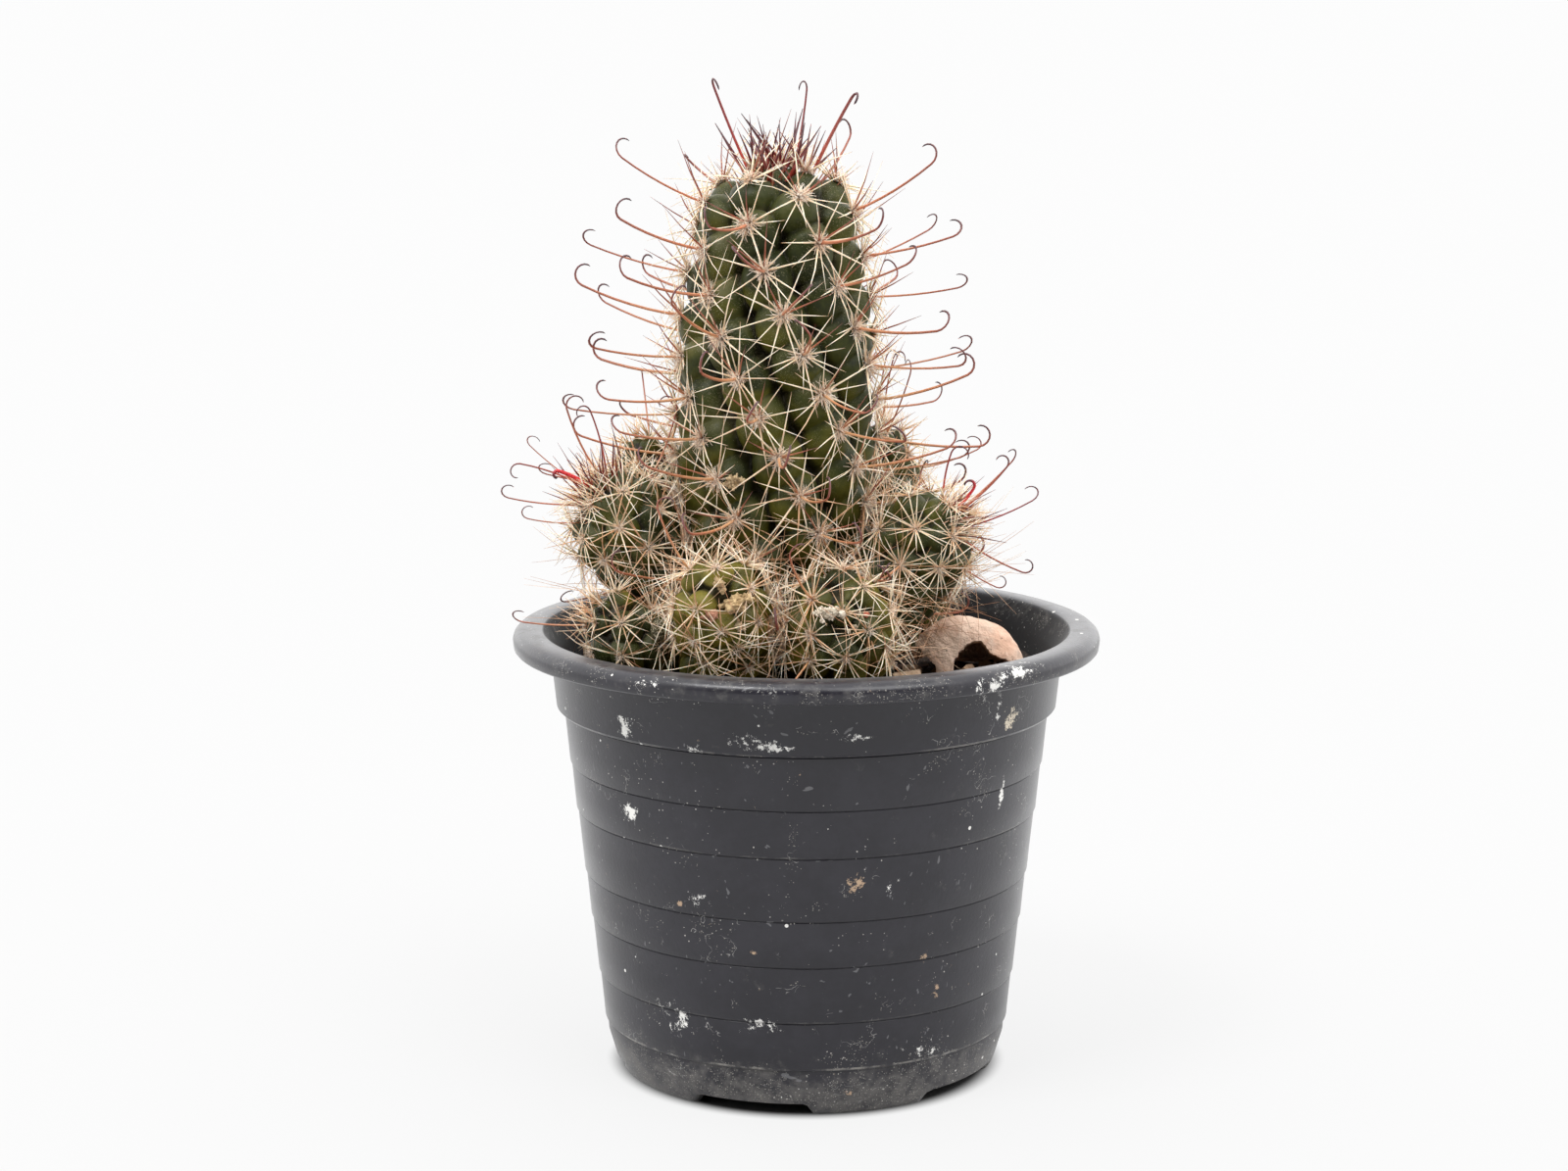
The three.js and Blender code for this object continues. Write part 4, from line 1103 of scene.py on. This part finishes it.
def centralsOf(stem, areole, key, infant, redness):
    strands = []
    upright = stem["centrals"]
    for k in range(upright):
        angle = math.radians(-70 + 140 * (k + draw(key, k + 161)) / upright)
        lift = math.radians(24 + 34 * draw(key, k + 165) + 40 * infant)
        length = stem["central"] * (0.78 + 0.4 * draw(key, k + 169)) * (0.8 + 0.2 * areole["young"])
        tone = (0.5, max(redness, areole["fresh"]), draw(key, k + 173))
        thick = stem["thin"] * (1.1 + 0.5 * redness)
        strands.append(straightStrand(areole, angle, lift, length, thick, tone, 0.02))
    return strands


def hasHook(stem, areole, owner, key, redness):
    byNumber = areole["index"] % stem["hookEvery"] == 0
    atTop = owner > 0 and redness > 0.5 and draw(key, 177) < 0.35
    facesUp = owner == 0 and areole["normal"][2] >= 0.6
    return (byNumber or atTop) and not facesUp and draw(key, 179) < 0.92


def spinesOf(stem, owner):
    strands = []
    for areole in stem["areoles"]:
        if areole["tip"][2] < stem["bareBelow"]:
            continue
        key = areole["index"] + stem["seed"]
        infant = 1 - areole["young"]
        redness = stem["fresh"] * min(max(infant * 2.2, 0), 1)
        upper = smooth((areole["t"] / stem["length"] - 0.55) * 3)
        own = redness if draw(key, 171) < 0.4 else redness * 0.5
        areole["fresh"] = max(own, 0.4 * stem["fresh"] * upper)
        strands += radialsOf(stem, areole, key, infant) + centralsOf(stem, areole, key, infant, redness)
        if hasHook(stem, areole, owner, key, redness):
            tries = [hookedStrand(stem, areole, shorter) for shorter in (1, 0.86, 0.72)]
            strands += [strand for strand in tries if isClear(strand["points"], owner)][:1]
    strands += crownHooks(stem) + tuftStrands(stem)
    return [strand for strand in strands if isClear(strand["points"], owner)]


def woolOf(stem):  # a tuft of short matted hair on every areole
    strands = []
    for areole in stem["areoles"]:
        if areole["tip"][2] < stem["bareBelow"]:
            continue
        normal, rising, across = facingOf(areole)
        key = areole["index"] + stem["seed"]
        count = int(stem["fibres"] * (0.4 + 0.6 * areole["young"]))
        length = stem["wool"] * (0.5 + 0.5 * areole["young"]) * (0.85 + 0.3 * draw(key, 199))
        for k in range(count):
            angle = k * 2.4 + key
            out = (k + 0.5) / count
            flat = rising * math.cos(angle) + across * math.sin(angle)
            root = areole["tip"] - normal * 0.25 + flat * length * 0.25 * out
            lean = flat * math.sqrt(out) + normal * (1.05 - out)
            sway = across * 0.5 * (draw(key, k + 201) - 0.5)
            lean = unit(lean + sway + rising * 0.5 * (draw(key, k + 211) - 0.5))
            end = root + lean * length * (0.5 + 0.6 * draw(key, k + 231))
            astray = across * (draw(key, k + 241) - 0.5) + rising * (draw(key, k + 251) - 0.5)
            middle = (root + end) / 2 + (normal * 0.12 + astray * 0.45) * length
            strands.append({"points": [root, middle, end], "flat": across,
                            "radii": (stem["fibre"], stem["fibre"] * 0.9, stem["fibre"] * 0.5),
                            "tone": (0.0, areole["young"], draw(key, k + 261))})
    return strands


def makeSpineMaterial():
    constants = {"Subsurface Weight": 0.4, "Subsurface Radius": (1.0, 0.6, 0.4), "Subsurface Scale": 0.5 * mm}
    material, tree, shader, place = newMaterial("spineHorn", constants)
    along, kind, redness = splitColour(tree, toneOf(tree, "Color"))[:3]
    chance = toneOf(tree, "Alpha")
    ramps = {key: rampNode(tree, along, stops) for key, stops in spineTones.items()}
    isOld = rangeNode(tree, chance, 0.60, 0.96, (0.0, 0.85))
    colour = mixColour(tree, isOld, ramps["radial"], ramps["old"])
    colour = mixColour(tree, rangeNode(tree, kind, 0.1, 0.45), colour, ramps["central"])
    colour = mixColour(tree, rangeNode(tree, kind, 0.6, 0.95), colour, ramps["hook"])
    colour = mixColour(tree, redness, colour, ramps["fresh"])
    colour = mixColour(tree, rangeNode(tree, redness, 1.05, 1.2), colour, ramps["vivid"])
    grain = noiseNode(tree, place, 3.0, 3.0, 0.6)
    setColour(tree, shader, shadeBy(tree, colour, grain, 0.25, (0.82, 0.80, 0.78), 0.75))
    tree.links.new(mathNode(tree, "MULTIPLY_ADD", grain, 0.3, 0.28), shader.inputs["Roughness"])
    setBump(tree, shader, grain, 0.3, 0.05)
    return material


def makeWoolMaterial():
    material, tree, shader, place = newMaterial("areoleWool", {"Roughness": 0.9, "Sheen Weight": 0.3})
    fibre = rampNode(tree, toneOf(tree, "Alpha"), woolTones)
    dirt = mottle(tree, place, 0.3, (0.88, 0.80, 0.72), white[:3])
    setColour(tree, shader, mixColour(tree, 1.0, fibre, dirt, "MULTIPLY"))
    setBump(tree, shader, noiseNode(tree, place, 5.0, 3.0, 0.6), 0.4, 0.08)
    return material


spineMaterial = makeSpineMaterial()
woolMaterial = makeWoolMaterial()
for number, stem in enumerate(stems):
    name = "column" if number == 0 else stem["name"].replace("offset", "pup")
    flesh = makeFleshMaterial(name + "Flesh", stem["bloom"], stem["olive"])
    addPiece(name + "Body", makeBody(stem), flesh, [stem["name"]])
    spines = strandMesh(name + "Spines", spinesOf(stem, number), 4)
    addPiece(name + "Spines", spines, spineMaterial)
    addPiece(name + "Wool", strandMesh(name + "Wool", woolOf(stem), 3), woolMaterial)


# Dead spines: tangles of long thin old spines at the foot of the column and between the heads

tangle = {
    "below": 92, "few": 4,  # strands on any areole below this height
    "many": 10, "length": 14.5, "thick": 0.05, "bend": 0.6,
    "taper": (1, 0.95, 0.85, 0.7, 0.35),
    "zones": (  # place and size of each thick tangle
        ((19, -10, 82), 9), ((-4, -27, 89), 8), ((-21, -21, 92), 9), ((8, -14, 96), 8), ((-15, -12, 96), 7),
        ((-29, -15, 82), 5), ((16, -22, 84), 7),
    ),
    "tones": ((0.0, (0.44, 0.19, 0.09)), (0.35, (0.72, 0.39, 0.21)), (0.7, (0.90, 0.60, 0.38)),
              (1.0, (0.96, 0.78, 0.58))),
}


def deadCount(tip):
    if any(np.linalg.norm(tip - np.array(place)) < size for place, size in tangle["zones"]):
        return tangle["many"]
    return tangle["few"] if tip[2] < tangle["below"] else 0


def deadStrands():
    strands = []
    radii = tangle["thick"] * np.array(tangle["taper"])
    shares = np.linspace(0, 1, len(radii))[:, None]
    for owner, stem in enumerate(stems):
        for areole in stem["areoles"]:
            normal, rising, across = facingOf(areole)
            key = areole["index"] + stem["seed"]
            for k in range(deadCount(areole["tip"])):
                angle = 2 * math.pi * draw(key, k + 301)
                flat = rising * math.cos(angle) + across * math.sin(angle)
                along = unit(flat + normal * (0.1 + 0.5 * draw(key, k + 331)))
                swing = unit(np.cross(along, normal)) * (draw(key, k + 361) - 0.5)
                swing = swing + normal * (draw(key, k + 391) - 0.6)
                length = tangle["length"] * (0.5 + 0.7 * draw(key, k + 421))
                bent = swing * tangle["bend"] * length * 0.5 * shares ** 2
                start = areole["tip"] + flat * 0.8 * draw(key, k + 451) - normal * 0.3
                points = list(start + along * length * shares + bent)
                if isClear(points, owner):
                    side = unit(np.cross(along, swing) + 1e-6)
                    tone = (0.0, 0.0, draw(key, k + 481))
                    strands.append({"points": points, "radii": radii, "flat": side, "tone": tone})
    return strands


def makeDeadMaterial():
    material, tree, shader, place = newMaterial("deadSpines", {"Roughness": 0.75})
    tint = rampNode(tree, toneOf(tree, "Alpha"), tangle["tones"])
    grain = noiseNode(tree, place, 1.4, 3.0, 0.6)
    setColour(tree, shader, shadeBy(tree, tint, grain, 0.3, (0.62, 0.56, 0.52), 0.7))
    setBump(tree, shader, grain, 0.3, 0.05)
    return material


deadSpines = strandMesh("deadSpines", deadStrands(), 3)
addPiece("deadSpines", deadSpines, makeDeadMaterial())


# Dried flowers on the two front heads, old crumbs, and one small speckled fruit

remains = (  # place, size of the heap, size of a crumb, number of crumbs, tone
    ("driedFlowerLeft", (-11.6, -33.2, 86.4), (2.4, 1.2, 1.9), 0.95, 16, 0.55),
    ("driedFlowerLeftLow", (-15.6, -32.4, 84.4), (1.3, 0.8, 0.8), 1.15, 5, 0.2),
    ("driedFlowerLeftKnob", (-10.8, -31.8, 82.6), (0.7, 0.6, 1.1), 1.1, 5, 0.72),
    ("driedFlowerLeftTop", (-14.2, -32.8, 89.6), (1.2, 0.8, 0.9), 0.7, 7, 0.6),
    ("driedFlowerRight", (3.6, -33.6, 84.8), (2.9, 0.9, 1.2), 0.6, 30, 0.95),
    ("driedFlowerRightLow", (8.2, -32.6, 81.6), (2.0, 0.9, 1.1), 0.7, 16, 0.85),
    ("driedFlowerRightRed", (9.4, -32.0, 84.4), (0.4, 0.4, 0.5), 0.38, 4, 0.08),
    ("driedFlowerColumn", (-12.0, -15.4, 103.4), (1.2, 0.7, 0.9), 0.75, 10, 0.62),
)
remainsTones = ((0.0, (0.55, 0.10, 0.05)), (0.2, (0.52, 0.26, 0.17)), (0.55, (0.58, 0.42, 0.22)),
                (0.8, (0.66, 0.55, 0.38)), (1.0, (0.86, 0.80, 0.68)))
fruit = {
    "place": (-24.3, -23.6, 79.9),
    "size": (1.35, 1.3, 1.9),
    "tones": ((0.035, 0.030, 0.012), (0.075, 0.060, 0.022)),
    "dots": (0.55, 0.48, 0.33),
}


def makeRemainsMaterial():
    material, tree, shader, place = newMaterial("driedPetals", {"Roughness": 0.8})
    tint = rampNode(tree, toneOf(tree, "Fac"), remainsTones)
    folds = noiseNode(tree, place, 1.1, 5.0, 0.7)
    setColour(tree, shader, shadeBy(tree, tint, folds, 0.32, (0.35, 0.28, 0.22), 0.6))
    setBump(tree, shader, folds, 0.6, 0.25)
    return material


def addCrumb(bm, k, i, size, place, heap):  # one crumpled ball in heap i
    radius = size * (0.55 + 0.6 * draw(k, i + 3))
    made = bmesh.ops.create_icosphere(bm, subdivisions=3, radius=radius)["verts"]
    offset = Vector((i * 7.0, k * 5.0, 0))
    for vert in made:
        crease = abs(noise.noise(vert.co * 1.3 / size + offset)) * 1.2
        vert.co *= 0.6 + crease + 0.3 * noise.noise(vert.co * 3.5 / size + offset)
    stretch = (0.7 + 0.6 * draw(k, i + 17), 0.7 + 0.5 * draw(k, i + 29), 0.6 + 0.7 * draw(k, i + 37))
    bmesh.ops.scale(bm, verts=made, vec=stretch)
    spread = Vector((draw(k, i + 43) + draw(k, i + 47) - 1, 2 * draw(k, i + 53) - 1,
                     draw(k, i + 59) + draw(k, i + 61) - 1))
    bmesh.ops.translate(bm, verts=made, vec=Vector(place) + spread * Vector(heap))


def makeRemains():
    material = makeRemainsMaterial()
    for i, (name, place, heap, size, count, tone) in enumerate(remains):
        bm = bmesh.new()
        for k in range(count):
            addCrumb(bm, k, i, size, place, heap)
        mesh = meshFrom(bm, name)
        values = np.full(len(mesh.vertices), tone)
        mesh.attributes.new("tone", "FLOAT", "POINT").data.foreach_set("value", values)
        addPiece(name, mesh, material)


def makeFruit():
    material, tree, shader, place = newMaterial("fruitSkin", {"Roughness": 0.6})
    dots = specks(tree, place, 4.5, 0.55, 0.2, 0.3)
    setColour(tree, shader, layer(tree, mottle(tree, place, 0.5, *fruit["tones"]), fruit["dots"], dots))
    setBump(tree, shader, dots, 0.4, 0.1)
    bm = bmesh.new()
    bmesh.ops.create_uvsphere(bm, u_segments=40, v_segments=28, radius=1)
    for vert in bm.verts:
        vert.co *= 1 + 0.12 * vert.co.z + 0.05 * noise.noise(vert.co * 2)
    bmesh.ops.scale(bm, verts=bm.verts, vec=fruit["size"])
    bmesh.ops.translate(bm, verts=bm.verts, vec=fruit["place"])
    addPiece("driedFruit", meshFrom(bm, "driedFruit"), material)


makeRemains()
makeFruit()


# Potting mix

mix = {
    "depth": 6, "foot": 40, "edge": 41.0, "radius": 41.35,
    "steps": 150, "rows": 60, "rough": 1.1,
    "heap": (-34, -7), "heapHeight": 3.6, "heapWidth": 8,
    "chips": 420, "chipTurn": 2.39996,  # radians from each chip to the next
    "chipsWithin": 40, "chipEdge": 40.8,  # the chips' middles and their outer ends stay inside these radii
    "sharpAngle": 45,
}
mixTones = {
    "crumbs": ((0.010, 0.006, 0.004), (0.050, 0.028, 0.017)),
    "fibre": (0.16, 0.10, 0.06),
    "grit": (0.45, 0.38, 0.30),
    "chips": ((0.0, (0.030, 0.016, 0.010)), (0.4, (0.10, 0.050, 0.028)), (0.7, (0.36, 0.22, 0.13)),
              (1.0, (0.68, 0.50, 0.34))),
}
bigChips = (  # place, length, width, thickness, turn in degrees, tone
    ((16.6, -13.5, 70.6), 6.0, 3.6, 1.6, 25, 0.95), ((13.4, -20.5, 70.2), 5.0, 3.0, 1.5, -20, 0.9),
    ((19.6, -17.0, 69.6), 4.2, 2.6, 1.5, 70, 0.8), ((29.4, -6.5, 69.3), 4.0, 2.6, 1.3, 10, 0.9),
    ((33.8, -3.0, 69.3), 2.6, 2.2, 1.4, 40, 1.0), ((26.0, -9.0, 69.2), 3.4, 1.8, 1.2, -35, 0.75),
    ((-35.4, -9.5, 73.6), 5.0, 3.6, 2.6, 50, 0.85), ((-33.0, -14.0, 72.2), 4.4, 2.8, 1.8, 15, 0.8),
    ((-30.0, -19.0, 71.2), 4.0, 2.4, 1.6, -30, 0.9), ((-36.6, -4.0, 73.2), 3.8, 3.0, 2.0, 80, 0.6),
    ((-27.0, -24.5, 70.2), 3.6, 2.4, 1.5, 20, 0.7), ((34.0, 12.0, 69.4), 5.2, 3.0, 1.6, 60, 0.75),
)


def mixHeight(x, y):
    place = Vector((x, y, 0))
    lump = noise.fractal(place * 0.09, 1.0, 2.0, 4) * mix["rough"]
    grain = noise.noise(place * 0.7) * 0.5 + noise.noise(place * 1.7) * 0.3
    fromHeap = math.hypot(x - mix["heap"][0], y - mix["heap"][1]) / mix["heapWidth"]
    return soilLevel + 0.2 + lump + grain + mix["heapHeight"] * math.exp(-fromHeap * fromHeap)


def makeMixMaterial():
    material, tree, shader, place = newMaterial("pottingMix", {"Roughness": 0.95})
    colour = mottle(tree, place, 0.35, *mixTones["crumbs"])
    colour = layer(tree, colour, mixTones["fibre"], specks(tree, place, 0.9, 0.35, 0.12, 0.5), 0.6)
    colour = layer(tree, colour, mixTones["grit"], specks(tree, place, 0.5, 0.16, 0.08, 0.5))
    setColour(tree, shader, colour)
    setBump(tree, shader, noiseNode(tree, place, 1.4, 6.0, 0.7), 0.9, 0.6)
    return material


def makeMix():
    under = soilLevel - mix["depth"]
    rows = [(0, under), (mix["foot"], under), (mix["edge"], soilLevel - 2)]
    rows += [(mix["radius"] * (1 - i / mix["rows"]), soilLevel) for i in range(mix["rows"])]
    rows.append((0, soilLevel))
    bm = spunProfile(rows, mix["steps"])
    for vert in bm.verts:
        if vert.co.z > soilLevel - 0.1:
            vert.co.z = mixHeight(vert.co.x, vert.co.y)
    addPiece("pottingMix", meshFrom(bm, "pottingMix"), makeMixMaterial(), ["soil"])


def addChip(bm, layerOf, place, size, turn, tilt, tone, seed):  # one rounded, uneven block
    first = len(bm.verts)
    made = bmesh.ops.create_cube(bm, size=1)
    edges = list(dict.fromkeys(edge for vert in made["verts"] for edge in vert.link_edges))
    bmesh.ops.subdivide_edges(bm, edges=edges, cuts=1, use_grid_fill=True)
    bm.verts.ensure_lookup_table()
    verts = bm.verts[first:]
    for vert in verts:
        vert.co *= 0.62 / max(vert.co.length, 0.45) ** 0.5
        vert.co += noise.noise_vector(vert.co * 1.7 + Vector((seed * 3.1, 0, 0))) * 0.28
        vert[layerOf] = (tone, tone, tone, 1)
    bmesh.ops.scale(bm, verts=verts, vec=size)
    matrix = Matrix.Rotation(turn, 3, "Z") @ Matrix.Rotation(tilt, 3, "X")
    bmesh.ops.rotate(bm, verts=verts, cent=(0, 0, 0), matrix=matrix)
    bmesh.ops.translate(bm, verts=verts, vec=place)


def scatterChips(bm, layerOf):  # small ones in a spiral, none in a stem
    for i in range(mix["chips"]):
        radius = mix["chipsWithin"] * math.sqrt(draw(i, 11))
        angle = i * mix["chipTurn"]
        x, y = radius * math.cos(angle), radius * math.sin(angle)
        size = 0.8 + 3.0 * draw(i, 13) ** 3
        place = np.array((x, y, mixHeight(x, y) + size * 0.15))
        inStem = (np.linalg.norm(balls[:, 1:4] - place, axis=1) < balls[:, 4] + size * 0.4).any()
        if inStem or radius + size * 0.6 > mix["chipEdge"]:
            continue
        shape = (0.8 + 0.6 * draw(i, 15), 0.6 + 0.3 * draw(i, 17), 0.3 + 0.4 * draw(i, 19))
        shape = [size * share for share in shape]
        addChip(bm, layerOf, place, shape, 6 * draw(i, 23), 0.9 * draw(i, 25), draw(i, 27) ** 1.6, i + 50)


def makeChipMaterial():
    material, tree, shader, place = newMaterial("barkChips", {"Roughness": 0.9})
    tint = rampNode(tree, splitColour(tree, toneOf(tree, "Color"))[0], mixTones["chips"])
    grain = noiseNode(tree, place, 0.9, 5.0, 0.7)
    setColour(tree, shader, shadeBy(tree, tint, grain, 0.3, (0.45, 0.38, 0.33), 0.65))
    setBump(tree, shader, grain, 0.7, 0.3)
    return material


def makeChips():
    bm = bmesh.new()
    layerOf = bm.verts.layers.float_color.new("tone")
    for i, (place, length, width, thick, turn, tone) in enumerate(bigChips):
        size, tilt = (length, width, thick), 0.4 * draw(i, 7) - 0.2
        addChip(bm, layerOf, place, size, math.radians(turn), tilt, tone, i)
    scatterChips(bm, layerOf)
    addPiece("mixChips", meshFrom(bm, "mixChips", mix["sharpAngle"]), makeChipMaterial())


makeMix()
makeChips()


# Husk

husk = {
    "centre": (27.4, -1, 68.85),
    "radii": (10.7, 7.4, 9.4),
    "wall": 0.8,
    "turn": -12,  # degrees about Z
    "sharpAngle": 50,
    # the torn mouth in front and the open end at the left, seen from the front
    "mouth": ((-1.7, -2), (-1.3, 2.6), (-0.4, 4.4), (1.1, 6.0), (3.3, 6.4), (4.7, 5.0), (6.0, 3.8),
              (8.3, 2.7), (9, 0)),
    "notch": ((-14, -2), (-14, 5.0), (-9.2, 5.2), (-7.6, 4.2), (-5.8, 3.0), (-4.4, 1.6), (-4, -2)),
    "tones": ((0.71, 0.44, 0.31), (0.85, 0.63, 0.49)),
    "stain": (0.34, 0.19, 0.12),
    "pale": (0.92, 0.76, 0.64),
    "dots": (0.16, 0.10, 0.07),
}


def isWithin(x, z, outline):
    inside = False
    for (ax, az), (bx, bz) in zip(outline, outline[1:] + outline[:1]):
        if (az > z) != (bz > z) and x < (bx - ax) * (z - az) / (bz - az) + ax:
            inside = not inside
    return inside


def makeHuskMaterial():
    material, tree, shader, place = newMaterial("dryHusk", {"Roughness": 0.8})
    colour = mottle(tree, place, 0.14, *husk["tones"])
    stain = rangeNode(tree, noiseNode(tree, place, 0.3, 5.0, 0.65), 0.54, 0.76, (0.0, 0.38))
    colour = layer(tree, colour, husk["stain"], stain)
    pale = rangeNode(tree, noiseNode(tree, place, 0.55, 5.0, 0.7), 0.55, 0.75, (0.0, 0.5))
    colour = layer(tree, colour, husk["pale"], pale)
    colour = layer(tree, colour, husk["dots"], specks(tree, place, 1.6, 0.25, 0.2, 0.5), 0.6)
    setColour(tree, shader, colour)
    fibres = addNode(tree, "ShaderNodeMapping", {0: place, 3: (0.7, 1.1, 1.1)})
    creases = noiseNode(tree, place, 0.42, 3.0, 0.6)
    relief = mathNode(tree, "MULTIPLY_ADD", noiseNode(tree, fibres.outputs[0], 1.2, 6.0, 0.6), 0.3, creases)
    setBump(tree, shader, relief, 0.6, 1.2)
    return material


def isGone(face):  # below the mix, in the torn mouth or in the open end
    at = face.calc_center_median()
    ragged = noise.noise(at * 0.9) * 0.45 + noise.noise(at * 2.6) * 0.25
    below = at.z < 0.05 + ragged * 0.15
    torn = at.y < 0 and isWithin(at.x + ragged * 0.5, at.z + ragged * 0.5, husk["mouth"])
    return below or torn or isWithin(at.x + ragged * 0.6, at.z + ragged * 0.4, husk["notch"])


def makeHusk():
    bm = bmesh.new()
    bmesh.ops.create_uvsphere(bm, u_segments=112, v_segments=72, radius=1)
    bmesh.ops.scale(bm, vec=husk["radii"], verts=bm.verts)
    bmesh.ops.delete(bm, geom=[face for face in bm.faces if isGone(face)], context="FACES")
    bmesh.ops.delete(bm, geom=[vert for vert in bm.verts if not vert.link_faces], context="VERTS")
    for _ in range(3):
        bmesh.ops.smooth_vert(bm, verts=[vert for vert in bm.verts if vert.is_boundary], factor=0.5,
                              use_axis_x=True, use_axis_y=True, use_axis_z=True)
    for vert in bm.verts:
        at = vert.co.copy()
        ridge = math.sin(math.atan2(at.z, at.x) * 7 + noise.noise(at * 0.2) * 5) * 0.07
        dent = noise.noise(at * 0.13) * 0.7 + noise.noise(at * 0.6) * 0.22 + ridge - 0.2
        vert.co += at.normalized() * dent
    bmesh.ops.solidify(bm, geom=bm.faces[:], thickness=husk["wall"])
    turn = Matrix.Rotation(math.radians(husk["turn"]), 3, "Z")
    bmesh.ops.rotate(bm, verts=bm.verts, cent=(0, 0, 0), matrix=turn)
    bmesh.ops.translate(bm, verts=bm.verts, vec=husk["centre"])
    mesh = meshFrom(bm, "huskShell", husk["sharpAngle"])
    addPiece("huskShell", mesh, makeHuskMaterial(), ["husk"])


makeHusk()
